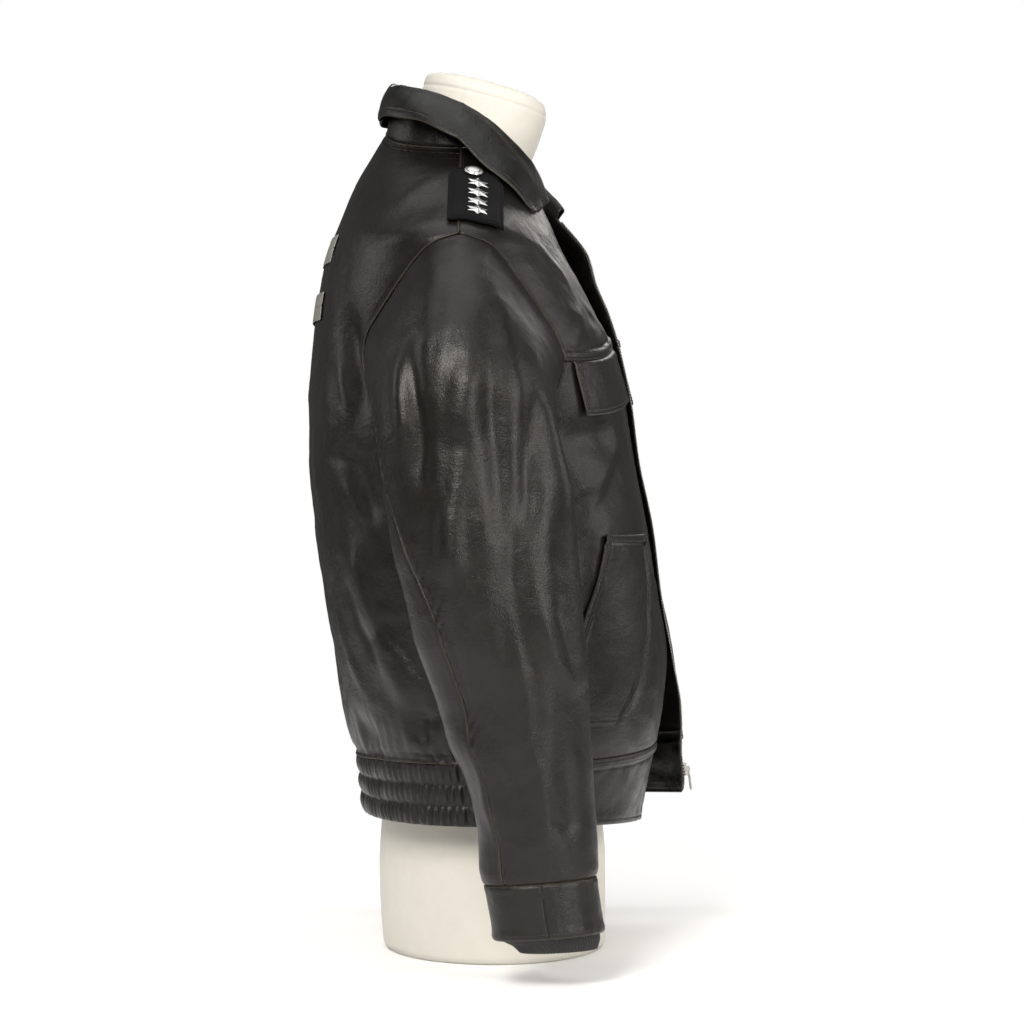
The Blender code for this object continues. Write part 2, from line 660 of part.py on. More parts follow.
def sleeve_point(side, along, turn):
    """Point of the sleeve: along 0 is the armhole, 1 the first full ring, 2 the cuff seam."""
    if along >= 1.0:
        height = blend(SLEEVE_TOP, SLEEVE_END, along - 1.0)
        here = ring_point(side, SLEEVE_AT, height, turn)
        out = ring_point(side, SLEEVE_AT, height, turn, 0.01) - here
        return here + out.normalized() * sleeve_fold(side, turn, height)
    start = ARMHOLES[side].at(turn)
    end = ring_point(side, SLEEVE_AT, SLEEVE_TOP, turn)
    below = ring_point(side, SLEEVE_AT, SLEEVE_TOP - 0.03, turn)
    chord = (end - start).length
    over = (1.0 + math.cos(turn)) / 2.0
    lead = Vector((side * 1.0, 0.0, -0.45 * over)).normalized() * chord * (0.7 + 0.5 * over)
    trail = (below - end).normalized() * chord * (0.6 + 0.5 * over)
    here = hermite(start, end, lead, trail, along)
    out = ring_point(side, SLEEVE_AT, SLEEVE_TOP, turn, 0.01) - end
    height = here.z
    grow = smooth_step(0.15, 0.8, along)
    return here + out.normalized() * sleeve_fold(side, turn, height) * grow


# Building meshes

def new_collection():
    """Empty the file and return the collection that holds the object."""
    for old in list(bpy.data.objects):
        bpy.data.objects.remove(old, do_unlink=True)
    collection = bpy.data.collections.new(COLLECTION)
    bpy.context.scene.collection.children.link(collection)
    return collection


def new_material(node, finish):
    """Principled material of one sub-part."""
    material = bpy.data.materials.new(node + "_" + finish.name)
    material.use_nodes = True
    shader = material.node_tree.nodes["Principled BSDF"]
    shader.inputs["Base Color"].default_value = (*finish.colour, 1.0)
    shader.inputs["Roughness"].default_value = finish.roughness
    shader.inputs["Metallic"].default_value = finish.metallic
    material.diffuse_color = (*finish.colour, 1.0)
    return material


class Workshop:
    """Adds finished objects to the collection."""

    def __init__(self):
        self.collection = new_collection()

    def add_mesh(self, name, bm, finish):
        """Object from a bmesh."""
        mesh = bpy.data.meshes.new(name)
        bm.to_mesh(mesh)
        bm.free()
        item = bpy.data.objects.new(name, mesh)
        item.data.materials.append(new_material(name, finish))
        self.collection.objects.link(item)
        return item

    def add_wall(self, name, grid, thickness, finish):
        """Cloth wall: an open sheet through the points of a grid, with Solidify."""
        item = self.add_mesh(name, sheet(grid), finish)
        item.data.shade_smooth()
        wall = item.modifiers.new("wall", "SOLIDIFY")
        wall.thickness = thickness
        wall.offset = 0.0
        return item


def sheet(grid):
    """A flat grid bent so that its points take their places in grid[row][column]."""
    rows, columns = len(grid) - 1, len(grid[0]) - 1
    bm = bmesh.new()
    bmesh.ops.create_grid(bm, x_segments=columns, y_segments=rows, size=1.0)
    for vert in bm.verts:
        column = round((vert.co.x + 1.0) / 2.0 * columns)
        row = round((vert.co.y + 1.0) / 2.0 * rows)
        vert.co = grid[row][column]
    return bm


def draw_in(points, gap):
    """Move the last point of a run towards the one before it."""
    points[-1] += (points[-2] - points[-1]).normalized() * gap


def trim(grid, low=False, high=False, start=False, end=False, gap=SEAM_GAP / 2):
    """Draw the named edges of a grid in by half a seam gap."""
    columns = [list(column) for column in zip(*grid)]
    for column in columns:
        if high:
            draw_in(column, gap)
        if low:
            column.reverse()
            draw_in(column, gap)
            column.reverse()
    rows = [list(row) for row in zip(*columns)]
    for row in rows:
        if end:
            draw_in(row, gap)
        if start:
            row.reverse()
            draw_in(row, gap)
            row.reverse()
    return rows


# Levels of the rows of each panel
BAND_ROWS = steps(HEM, BAND_SEAM, 3)
TRUNK_ROWS = steps(BAND_SEAM, ARMPIT, 13) + steps(ARMPIT, CHEST_SEAM, CHEST_STEP)[1:]
CHEST_ROWS = steps(CHEST_SEAM, SHOULDER_TIP, TIP_STEP - CHEST_STEP)
FRONT_YOKE_ROWS = CHEST_ROWS + steps(SHOULDER_TIP, NECK, 4)[1:]
BACK_ROWS = TRUNK_ROWS + CHEST_ROWS[1:] + steps(SHOULDER_TIP, YOKE_SEAM, 3)[1:]
BACK_YOKE_ROWS = steps(YOKE_SEAM, NECK, 2)
FRONT_COLUMNS = 11
BACK_HALF_COLUMNS = 10


def front_grid(side, levels):
    """Grid of one front panel, from its open edge to the side."""
    return [
        [panel_point(side, FRONT, across, level) for across in steps(0.0, 1.0, FRONT_COLUMNS)]
        for level in levels
    ]


def back_row(level, half_columns, out=None):
    """Row of the back from its right side over the centre back to its left side."""
    row = []
    for across in steps(-1.0, 1.0, 2 * half_columns):
        side = RIGHT if across < 0.0 else LEFT
        lift = out(across, level) if out else 0.0
        row.append(panel_point(side, BACK, abs(across), level, lift))
    return row


def build_body(shop):
    """Fronts, yokes and back."""
    for side, name in SIDES:
        grid = trim(front_grid(side, TRUNK_ROWS), high=True, end=True)
        grid = trim(grid, low=True, gap=BAND_GAP / 2)
        shop.add_wall("front_" + name, grid, LEATHER, LEATHER_FINISH)
        grid = trim(front_grid(side, FRONT_YOKE_ROWS), low=True, end=True)
        shop.add_wall("front_yoke_" + name, grid, LEATHER, LEATHER_FINISH)
    back = [back_row(level, BACK_HALF_COLUMNS) for level in BACK_ROWS]
    back = trim(back, high=True, start=True, end=True)
    back = trim(back, low=True, gap=BAND_GAP / 2)
    shop.add_wall("back", back, LEATHER, LEATHER_FINISH)
    yoke = [back_row(level, BACK_HALF_COLUMNS) for level in BACK_YOKE_ROWS]
    yoke = trim(yoke, low=True, start=True, end=True)
    shop.add_wall("back_yoke", yoke, LEATHER, LEATHER_FINISH)


def band_swell(across, level):
    """How far the elastic band stands out between its rows of stitching."""
    tier = abs(math.sin(math.pi * BAND_TIERS * level))
    gather = math.cos(math.pi * BAND_GATHERS * across)
    side_fade = smooth_step(0.0, 0.04, 1.0 - abs(across))
    return tier * (TIER_PUFF + GATHER_DEPTH * gather) * side_fade


def build_waistband(shop):
    """Plain front bands and the gathered back band."""
    for side, name in SIDES:
        grid = trim(front_grid(side, BAND_ROWS), end=True)
        grid = trim(grid, high=True, gap=BAND_GAP / 2)
        shop.add_wall("waistband_front_" + name, grid, LEATHER, LEATHER_FINISH)
    levels = steps(HEM, BAND_SEAM, 2 * BAND_TIERS)
    grid = [back_row(level, BAND_GATHERS, band_swell) for level in levels]
    grid = trim(grid, start=True, end=True)
    grid = trim(grid, high=True, gap=BAND_GAP / 2)
    shop.add_wall("waistband_back", grid, LEATHER, LEATHER_FINISH)


def rear_seam_turn(along):
    """Turn of the sleeve's rear seam, from the armhole to the cuff."""
    ring_turn = REAR_SEAM_AT["turn"](blend(SLEEVE_TOP, SLEEVE_END, max(along - 1.0, 0.0)))
    return math.radians(blend(SEAM_AT_ARMHOLE, ring_turn, min(along, 1.0)))


SLEEVE_ROWS = steps(0.0, 1.0, 6) + steps(1.0, 2.0, 12)[1:]
TOP_SLEEVE_COLUMNS = 18
UNDER_SLEEVE_COLUMNS = 9


def sleeve_grid(side, upper):
    """Grid of the top sleeve, over the outer face, or of the under sleeve."""
    grid = []
    front = math.radians(FRONT_SEAM_TURN)
    for along in SLEEVE_ROWS:
        rear = rear_seam_turn(along)
        if upper:
            turns = steps(rear - 2.0 * math.pi, front, TOP_SLEEVE_COLUMNS)
        else:
            turns = steps(front, rear, UNDER_SLEEVE_COLUMNS)
        grid.append([sleeve_point(side, along, turn) for turn in turns])
    return grid


def ring_grid(side, table, heights, columns):
    """Closed rings of a cuff at the given heights; the last column meets the first."""
    turns = steps(0.0, 2.0 * math.pi, columns)
    return [[ring_point(side, table, height, turn) for turn in turns] for height in heights]


def face_out(bm):
    """Turn the faces of a closed shape outwards."""
    bmesh.ops.recalc_face_normals(bm, faces=bm.faces)
    if bm.calc_volume(signed=True) < 0.0:
        bmesh.ops.reverse_faces(bm, faces=bm.faces)


def weld(bm):
    """Close a sheet whose edges meet, and turn its faces out."""
    bmesh.ops.remove_doubles(bm, verts=bm.verts, dist=MERGE_REACH)
    face_out(bm)


def build_sleeves(shop):
    """Top and under sleeves, leather cuffs and the knit cuffs inside them."""
    for side, name in SIDES:
        for upper, title in ((True, "sleeve_top_"), (False, "sleeve_under_")):
            grid = trim(sleeve_grid(side, upper), start=True, end=True, gap=SLEEVE_GAP / 2)
            shop.add_wall(title + name, grid, LEATHER, LEATHER_FINISH)
        heights = steps(CUFF[0].height, CUFF[-1].height, 2)
        bm = sheet(ring_grid(side, CUFF_AT, heights, 24))
        weld(bm)
        cuff = shop.add_mesh("cuff_" + name, bm, LEATHER_FINISH)
        wall = cuff.modifiers.new("wall", "SOLIDIFY")
        wall.thickness = LEATHER
        wall.offset = 0.0
        shop.add_mesh("knit_cuff_" + name, knit_tube(side), KNIT_FINISH)


def knit_tube(side):
    """Knit cuff: ribs stand on its outer side, and its inside is plain."""
    low, high = KNIT_CUFF[0].height, KNIT_CUFF[-1].height
    rise = KNIT_CUFF[1].height
    profile = (
        (low, 0.0, 0.0),
        (low, KNIT, 0.5),
        (rise, KNIT, 1.0),
        (high, KNIT, 0.0),
        (high, 0.0, 0.0),
        (rise, 0.0, 0.0),
        (low, 0.0, 0.0),
    )
    grid = []
    for height, out, rib in profile:
        row = []
        for turn in steps(0.0, 2.0 * math.pi, 2 * KNIT_RIBS):
            lift = out - KNIT + rib * RIB_HEIGHT * (math.cos(KNIT_RIBS * turn) - 1.0) / 2.0
            row.append(ring_point(side, KNIT_AT, height, turn, lift))
        grid.append(row)
    bm = sheet(grid)
    weld(bm)
    return bm


# Collar

def neckline(side, place):
    """Point of the neck seam, from the centre back (0) to the front end (1)."""
    if place <= 0.5:
        return panel_point(side, BACK, place * 2.0, NECK)
    return panel_point(side, FRONT, 2.0 - place * 2.0, NECK)


def collar_profile(side, place):
    """Points across the collar: up the stand, over the roll and down the fall."""
    foot = neckline(side, place)
    turn = math.radians(COLLAR_AT["turn"](place))
    outward = Vector((side * math.sin(turn), -math.cos(turn), 0.0))
    run = neckline(side, min(place + 0.03, 1.0)) - neckline(side, max(place - 0.03, 0.0))
    run.normalize()
    rise = (UP - run * run.z * smooth_step(0.4, 0.8, place)).normalized()
    square = side * UP.cross(run).normalized()
    over = blend(outward, square, CROWN_SQUARE * smooth_step(0.6, 0.9, place)).normalized()
    roll = foot + rise * COLLAR_AT["rise"](place) - over * COLLAR_AT["lean"](place)
    edge = foot + outward * COLLAR_AT["out"](place) + UP * COLLAR_AT["fall"](place)
    start = foot + rise * COLLAR_LIFT
    radius = min(ROLL_RADIUS, COLLAR_AT["rise"](place) * 0.3)
    crown_in = roll - rise * radius
    crown_out = roll + over * radius * 2.0 - rise * radius * 0.9
    crown_top = roll + over * radius
    points = [start, blend(start, crown_in, 0.5), crown_in, crown_top, crown_out]
    bend = blend(crown_out, edge, 0.5) + outward * FALL_BEND[0] + UP * FALL_BEND[1]
    for t in (0.25, 0.5, 0.75, 1.0):
        points.append(crown_out * (1 - t) ** 2 + bend * 2.0 * t * (1 - t) + edge * t * t)
    rest = (LEATHER + COLLAR_LEATHER) / 2 + COLLAR_REST
    for point in points[4:]:
        floor = shoulder_height(side, abs(point.x), point.y) + rest
        point.z = max(point.z, floor)
    return points


def build_collar(shop):
    """One fold-over collar with its stand."""
    places = [1.0 - share**STATION_POWER for share in steps(0.0, 1.0, COLLAR_STATIONS)]
    columns = [collar_profile(RIGHT, place) for place in places]
    columns += [collar_profile(LEFT, place) for place in places[-2::-1]]
    grid = [list(row) for row in zip(*columns)]
    shop.add_wall("collar", grid, COLLAR_LEATHER, LEATHER_FINISH)


# Shoulder slides

STRAP_OUT = LEATHER / 2 + STRAP_GAP + STRAP_LEATHER / 2
STRAP_FACE = STRAP_OUT + STRAP_LEATHER / 2


def strap_half(x):
    """Half the strap's width, rounded in at its neck end."""
    return STRAP_HALF * (1.0 - 0.22 * smooth_step(STRAP_INNER + 0.014, STRAP_INNER, x))


def turned(profile):
    """A run of (radius, height) points turned once round Z by a spin, closed at both poles."""
    bm = bmesh.new()
    verts = [bm.verts.new((radius, 0.0, height)) for radius, height in profile]
    edges = [bm.edges.new(pair) for pair in zip(verts, verts[1:])]
    bmesh.ops.spin(bm, geom=verts + edges, axis=UP, cent=Vector(), angle=2 * math.pi,
                   steps=16, use_merge=True)
    weld(bm)
    return bm


def slope_frame(side, x, y, out):
    """Placing matrix on the shoulder: its Z leaves the slope and its X runs down it."""
    origin = shoulder_point(side, x, y, out)
    down = (shoulder_point(side, x + NUDGE, y, out) - origin).normalized()
    normal = (shoulder_point(side, x, y, out + NUDGE) - origin).normalized()
    across = normal.cross(down).normalized()
    frame = Matrix((down, across, normal)).transposed().to_4x4()
    frame.translation = origin
    return frame


def star_mesh(side, x):
    """Six-pointed star with a ridge to each point, laid on the strap."""
    bm = bmesh.new()
    bmesh.ops.create_circle(bm, cap_ends=True, segments=2 * STAR_POINTS, radius=1.0)
    base = bm.faces[:]
    rim = bmesh.ops.extrude_face_region(bm, geom=base)["geom"]
    top = [item for item in rim if isinstance(item, bmesh.types.BMFace)]
    for vert in {vert for face in top for vert in face.verts}:
        vert.co.z = 1.0
    peak = bmesh.ops.poke(bm, faces=top)["verts"][0]
    peak.co.z = 2.0
    slope = slope_frame(side, x, STAR_Y, 0.0).col[0].to_3d()
    run = abs(slope.x)
    for vert in bm.verts:
        angle = math.atan2(vert.co.y, vert.co.x)
        point = round(angle / (math.pi / STAR_POINTS)) % 2 == 0
        radius = STAR_RADIUS if point else STAR_WAIST
        if vert == peak:
            radius = 0.0
        lift = (0.0, STAR_RIM, STAR_PEAK)[round(vert.co.z)]
        along = x + radius * math.cos(angle) * run
        vert.co = shoulder_point(side, along, STAR_Y + radius * math.sin(angle),
                                 STRAP_FACE + SEAM_GAP + lift)
    face_out(bm)
    return bm


def build_slides(shop):
    """Shoulder slides with their buttons and stars."""
    for side, name in SIDES:
        grid = []
        for x in steps(STRAP_INNER, STRAP_OUTER, 7):
            half = strap_half(x)
            low, high = STRAP_MIDDLE_Y - half, STRAP_MIDDLE_Y + half
            grid.append([shoulder_point(side, x, y, STRAP_OUT) for y in steps(low, high, 6)])
        shop.add_wall("shoulder_slide_" + name, grid, STRAP_LEATHER, LEATHER_FINISH)
        profile = (
            (0.0, BUTTON_HEIGHT),
            (BUTTON_RADIUS * 0.55, BUTTON_HEIGHT * 0.88),
            (BUTTON_RADIUS * 0.86, BUTTON_HEIGHT * 0.62),
            (BUTTON_RADIUS, BUTTON_HEIGHT * 0.30),
            (BUTTON_RADIUS * 0.92, 0.0),
            (0.0, 0.0),
        )
        button = shop.add_mesh("slide_button_" + name, turned(profile), BUTTON_FINISH)
        button.matrix_world = slope_frame(side, *BUTTON_PLACE, STRAP_FACE + SEAM_GAP)
        for index, x in enumerate(STAR_PLACES):
            shop.add_mesh(f"star_{name}_{index + 1}", star_mesh(side, x), STAR_FINISH)


# Pieces laid on the panels

PATCH_OUT = LEATHER + LAID_GAP


def patch_grid(side, rows, columns, out):
    """Grid of a patch: the body's own points between two turns, moved out."""
    grid = []
    for row in rows:
        turns = steps(math.radians(row.front_turn), math.radians(row.side_turn), columns)
        grid.append([body_point(side, turn, row.height, out + row.proud) for turn in turns])
    return grid


def flap_grid(side, columns):
    """Grid of a chest flap, which hangs along the chest seam."""
    grid = []
    for row in CHEST_FLAP:
        points = []
        for across in steps(row.front_end, row.side_end, columns):
            turn, height = panel_place(side, FRONT, across, CHEST_SEAM)
            points.append(body_point(side, turn, height - row.drop, PATCH_OUT + row.proud))
        grid.append(points)
    return grid


def build_patches(shop):
    """Chest flaps, patch pockets and the reflective bars."""
    for side, name in SIDES:
        grid = flap_grid(side, 7)
        shop.add_wall("chest_flap_" + name, grid, LEATHER, LEATHER_FINISH)
        grid = patch_grid(side, POCKET, 6, PATCH_OUT)
        shop.add_wall("patch_pocket_" + name, grid, LEATHER, LEATHER_FINISH)
    out = (LEATHER + BAR) / 2 + LAID_GAP
    for bar in REFLECTIVE_BARS:
        grid = []
        for height in steps(bar.low, bar.high, 2):
            row = []
            for turn in steps(-bar.half_turn, bar.half_turn, 10):
                side = RIGHT if turn < 0.0 else LEFT
                row.append(body_point(side, math.pi - math.radians(abs(turn)), height, out))
            grid.append(row)
        shop.add_wall(bar.name, grid, BAR, BAR_FINISH)


# Zip

TAPE_ROWS = BAND_ROWS + TRUNK_ROWS[1:] + FRONT_YOKE_ROWS[1:]
TAPE_ENDS = (0.05, 4.9)


def tape_point(side, level, inset, out=0.0):
    """Point of the zip tape at a distance in from the front edge."""
    height = inner_height(side, FRONT, level)
    turn = turn_at_x(height, edge_x(side, height) - inset)
    return body_point(side, turn, height, out)


def zip_frame():
    """Placing matrix of the slider: X across the tape, Y up along it, Z out of it."""
    middle = TAPE_WIDTH / 2
    out = TAPE / 2 + SEAM_GAP
    origin = tape_point(LEFT, SLIDER_LEVEL, middle, out)
    along = (tape_point(LEFT, SLIDER_LEVEL + 0.05, middle, out) - origin).normalized()
    normal = (tape_point(LEFT, SLIDER_LEVEL, middle, out + NUDGE) - origin).normalized()
    across = along.cross(normal).normalized()
    normal = across.cross(along).normalized()
    frame = Matrix((across, along, normal)).transposed().to_4x4()
    frame.translation = origin
    return frame


def add_block(bm, size, centre):
    """Box of a size at a centre."""
    made = bmesh.ops.create_cube(bm, size=1.0)["verts"]
    bmesh.ops.scale(bm, vec=Vector(size), verts=made)
    bmesh.ops.translate(bm, vec=Vector(centre), verts=made)


def block_object(shop, name, size, centre, frame, finish):
    """Box as an object in the slider's frame."""
    bm = bmesh.new()
    add_block(bm, size, centre)
    item = shop.add_mesh(name, bm, finish)
    item.matrix_world = frame
    return item


def join_with(item, other):
    """Boolean union that takes in another object's shape, which is then removed."""
    union = item.modifiers.new("union", "BOOLEAN")
    union.operation = "UNION"
    union.object = other
    bpy.context.view_layer.update()
    graph = bpy.context.evaluated_depsgraph_get()
    mesh = bpy.data.meshes.new_from_object(item.evaluated_get(graph))
    item.modifiers.clear()
    item.data = mesh
    bpy.data.objects.remove(other, do_unlink=True)


def build_zip(shop):
    """Zip tapes on both edges, and the slider with its pull tab on the left one."""
    for side, name in SIDES:
        levels = [level for level in TAPE_ROWS if TAPE_ENDS[0] < level < TAPE_ENDS[1]]
        levels = [TAPE_ENDS[0]] + levels + [TAPE_ENDS[1]]
        insets = (SEAM_GAP, TAPE_WIDTH)
        grid = [[tape_point(side, level, inset) for inset in insets] for level in levels]
        shop.add_wall("zip_tape_" + name, grid, TAPE, TAPE_FINISH)

    frame = zip_frame()
    width, length, depth = SLIDER_SIZE
    slider = block_object(shop, "zip_slider", SLIDER_SIZE, (0.0, 0.0, depth / 2), frame, ZIP_FINISH)
    for sign in (-1.0, 1.0):
        centre = (sign * EAR_SPREAD / 2, 0.0, depth + EAR_SIZE[2] / 2 - EAR_SINK)
        ear = block_object(shop, "ear", EAR_SIZE, centre, frame, ZIP_FINISH)
        join_with(slider, ear)
    edge = slider.modifiers.new("rounded", "BEVEL")
    edge.width = METAL_ROUNDING
    edge.segments = 1

    bm = bmesh.new()
    barrel = EAR_SPREAD - EAR_SIZE[0] - 2 * PULL_PLAY
    made = bmesh.ops.create_cone(bm, cap_ends=True, segments=12, radius1=PIN_RADIUS,
                                 radius2=PIN_RADIUS, depth=barrel)["verts"]
    bmesh.ops.rotate(bm, verts=made, matrix=Matrix.Rotation(math.pi / 2, 3, "Y"))
    pull = shop.add_mesh("zip_pull", bm, ZIP_FINISH)
    neck_size = (barrel * 0.8, PULL_NECK[0], PULL_THICKNESS)
    neck_centre = (0.0, -PULL_NECK[1], 0.0)
    plate_size = (PULL_WIDTH, PULL_LENGTH, PULL_THICKNESS)
    plate_centre = (0.0, -PULL_PLATE_TOP - PULL_LENGTH / 2, 0.0)
    for size, centre in ((neck_size, neck_centre), (plate_size, plate_centre)):
        part = block_object(shop, "pull_block", size, centre, Matrix.Identity(4), ZIP_FINISH)
        join_with(pull, part)
    pivot = frame.copy()
    pivot.translation = frame @ Vector((0.0, 0.0, PIN_HEIGHT + PIN_RADIUS))
    pull.matrix_world = pivot


# Dress form

def form_width(height):
    """Half width of the form; its shoulders lie just under the cloth they carry."""
    half = FORM_AT["half_width"](height)
    share = smooth_step(SEAT_FROM, SEAT_FULL, height) * (1 - smooth_step(SEAT_TO, SEAT_END, height))
    return blend(half, BODY_AT["half_width"](height + SEAT_DROP), share)


def form_ring(height):
    """Closed ring of the dress form at a height."""
    half = form_width(height)
    middle = FORM_AT["middle"](height)
    bow = 2.0 / FORM_AT["power"](height)
    ring = []
    for turn in steps(0.0, 2.0 * math.pi, FORM_COLUMNS):
        cosine = math.cos(turn)
        sine = math.sin(turn)
        wall = FORM_AT["front" if cosine > 0.0 else "back"](height)
        x = half * math.copysign(abs(sine) ** bow, sine)
        y = middle + (wall - middle) * abs(cosine) ** bow
        ring.append(Vector((x, y, height + FORM_AT["slope"](height) * (y - middle))))
    return ring


def build_form(shop):
    """Whole linen-covered torso with a flat base and a rounded, leaning neck."""
    low, high = FORM[1].height, FORM[-4].height
    heights = [FORM[0].height] + steps(low, 0.62, 8) + steps(0.64, high, 11)
    heights += [row.height for row in FORM[-3:]]
    bm = sheet([form_ring(height) for height in heights])
    bmesh.ops.remove_doubles(bm, verts=bm.verts, dist=MERGE_REACH)
    rims = [edge for edge in bm.edges if edge.is_boundary]
    bmesh.ops.holes_fill(bm, edges=rims)
    face_out(bm)
    shop.add_mesh("dress_form", bm, LINEN_FINISH)


def main():
    """Build every piece of the jacket and the dress form."""
    shop = Workshop()
    build_form(shop)
    build_body(shop)
    build_waistband(shop)
    build_sleeves(shop)
    build_collar(shop)
    build_slides(shop)
    build_patches(shop)
    build_zip(shop)


main()
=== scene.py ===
"""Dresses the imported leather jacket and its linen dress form.

Every cloth piece is a fine shell on the surface of its solid, with folds, creases, turned edges
and rows of sewing. The jacket's body is a stack of rounded sections, and a sleeve is a run of
rings that leaves the body at the armhole. Sizes are in metres: +Z is up, the front faces -Y and
the wearer's right is -X.
"""

import logging
import math
from dataclasses import dataclass
from enum import Enum
from typing import Optional, Sequence, Union

import bmesh
import bpy
import numpy as np
from mathutils import Matrix, Vector


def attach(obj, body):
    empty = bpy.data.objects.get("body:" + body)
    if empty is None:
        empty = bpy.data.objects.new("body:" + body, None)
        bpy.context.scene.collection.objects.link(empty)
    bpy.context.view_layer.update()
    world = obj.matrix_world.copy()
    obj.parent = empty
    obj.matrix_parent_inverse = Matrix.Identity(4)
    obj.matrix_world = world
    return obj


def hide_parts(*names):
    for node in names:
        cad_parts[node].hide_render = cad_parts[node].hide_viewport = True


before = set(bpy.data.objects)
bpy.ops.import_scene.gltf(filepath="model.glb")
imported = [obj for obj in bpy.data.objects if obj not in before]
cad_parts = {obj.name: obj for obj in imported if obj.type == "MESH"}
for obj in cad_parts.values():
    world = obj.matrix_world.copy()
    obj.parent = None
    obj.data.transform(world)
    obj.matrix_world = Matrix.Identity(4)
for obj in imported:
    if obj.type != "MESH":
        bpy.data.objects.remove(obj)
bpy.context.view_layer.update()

LOG = logging.getLogger("jacket")
Material = bpy.types.Material
Mesh = bpy.types.Mesh
Piece = bpy.types.Object
Shell = bmesh.types.BMesh
Socket = bpy.types.NodeSocket
Column = tuple[float, ...]
Grid = np.ndarray
Number = Union[float, np.ndarray]
Place = tuple[float, float]

RIGHT = -1
LEFT = 1
BOTH = 0
SIDES = ((RIGHT, "right"), (LEFT, "left"))
ROOT = "root"
FULL_TURN = 2.0 * math.pi

# How a table of creases gives its first coordinate.
DEGREES = 1
HUNDREDTHS = 100


# Numbers on arrays


def mm(*values: float) -> Column:
    """Metres from millimetres."""
    return tuple(round(value / 1000.0, 6) for value in values)


# Thickness of the leather, spacing and size of a stitch, and how far its middle stands up.
LEATHER_THICKNESS = 0.0014
STITCH_PITCH = 0.0032
STITCH_SIZE = (0.00055, 0.0024, 0.0004)
STITCH_SWELL = 0.00028

# Steps of a grid away from a sewn edge, and the distance over which a hem keeps the cloth calm.
EDGE_STEPS = mm(0, 0.6, 1.3, 2, 2.7, 3.5, 4.7, 6.2, 7.8, 8.8, 9.8, 11, 13)
HEM_REACH = 0.012

# Limits between which a crease fades in from its ends, and the distance at which points merge.
CREASE_ENDS = (-0.10, 0.32)
WELD = 0.00002


def blend(start: Number, end: Number, share: Number) -> Number:
    """Value or point between two others."""
    return start + (end - start) * share


def smooth_step(low: float, high: float, at: Number) -> Number:
    """0 below low, 1 above high and an even S between."""
    t = np.clip((at - low) / (high - low), 0.0, 1.0)
    return t * t * (3.0 - 2.0 * t)


def hermite(start: Number, end: Number, lead: Number, trail: Number, t: Number) -> Number:
    """Place at t on the curve that leaves start along lead and reaches end along trail."""
    return (
        start * (2 * t**3 - 3 * t**2 + 1)
        + end * (3 * t**2 - 2 * t**3)
        + lead * (t**3 - 2 * t**2 + t)
        + trail * (t**3 - t**2)
    )


def unit(vectors: Grid) -> Grid:
    """Vectors of length one."""
    return vectors / np.maximum(np.linalg.norm(vectors, axis=-1, keepdims=True), 1e-9)


def stack(x: Number, y: Number, z: Number) -> Grid:
    """Points from their three coordinates."""
    return np.stack(np.broadcast_arrays(x, y, z), axis=-1)


def run_lengths(points: Grid, axis: int) -> Grid:
    """Length travelled along an axis of a grid of points, from its first point."""
    gaps = np.linalg.norm(np.diff(points, axis=axis), axis=-1)
    first = np.zeros_like(np.take(gaps, [0], axis=axis))
    return np.concatenate((first, np.cumsum(gaps, axis=axis)), axis=axis)


def chance(x: Grid, y: Grid, z: Grid, seed: float) -> Grid:
    """Repeatable numbers from 0 to 1, one for each cell of a lattice."""
    mixed = np.sin(x * 127.1 + y * 311.7 + z * 74.7 + seed * 19.19) * 43758.5453
    return mixed - np.floor(mixed)


def ripple(points: Grid, scale: Sequence[float], seed: float) -> Grid:
    """Soft unevenness from -1 to 1.

    Args:
        points: places to read it at.
        scale: waves for each metre along X, Y and Z.
        seed: picks one of many such patterns.

    Returns:
        One number for each place.
    """
    spot = points * np.array(scale)
    cell = np.floor(spot)
    t = spot - cell
    t = t * t * (3.0 - 2.0 * t)
    total = np.zeros(points.shape[:-1])
    for dx in (0, 1):
        for dy in (0, 1):
            for dz in (0, 1):
                weight = (
                    np.abs(1 - dx - t[..., 0])
                    * np.abs(1 - dy - t[..., 1])
                    * np.abs(1 - dz - t[..., 2])
                )
                corner = chance(cell[..., 0] + dx, cell[..., 1] + dy, cell[..., 2] + dz, seed)
                total = total + weight * corner
    return total * 2.0 - 1.0


class Curve:
    """One column of a table read along another, without overshoot."""

    def __init__(self, stops: Column, values: Column) -> None:
        """Works out the slope at each stop."""
        self.stops = np.array(stops, float)
        self.values = np.array(values, float)
        self.spans = np.diff(self.stops)
        rises = np.diff(self.values) / self.spans
        before, after = rises[:-1], rises[1:]
        same = before * after > 0.0
        middle = np.where(same, 2.0 * before * after / np.where(same, before + after, 1.0), 0.0)
        self.slopes = np.concatenate(([rises[0]], middle, [rises[-1]]))

    def __call__(self, at: Number) -> Grid:
        """Value at a place, held beyond both ends."""
        at = np.clip(at, self.stops[0], self.stops[-1])
        index = np.searchsorted(self.stops, at, side="right") - 1
        index = np.clip(index, 0, len(self.spans) - 1)
        span = self.spans[index]
        t = (at - self.stops[index]) / span
        lead, trail = self.slopes[index] * span, self.slopes[index + 1] * span
        return hermite(self.values[index], self.values[index + 1], lead, trail, t)


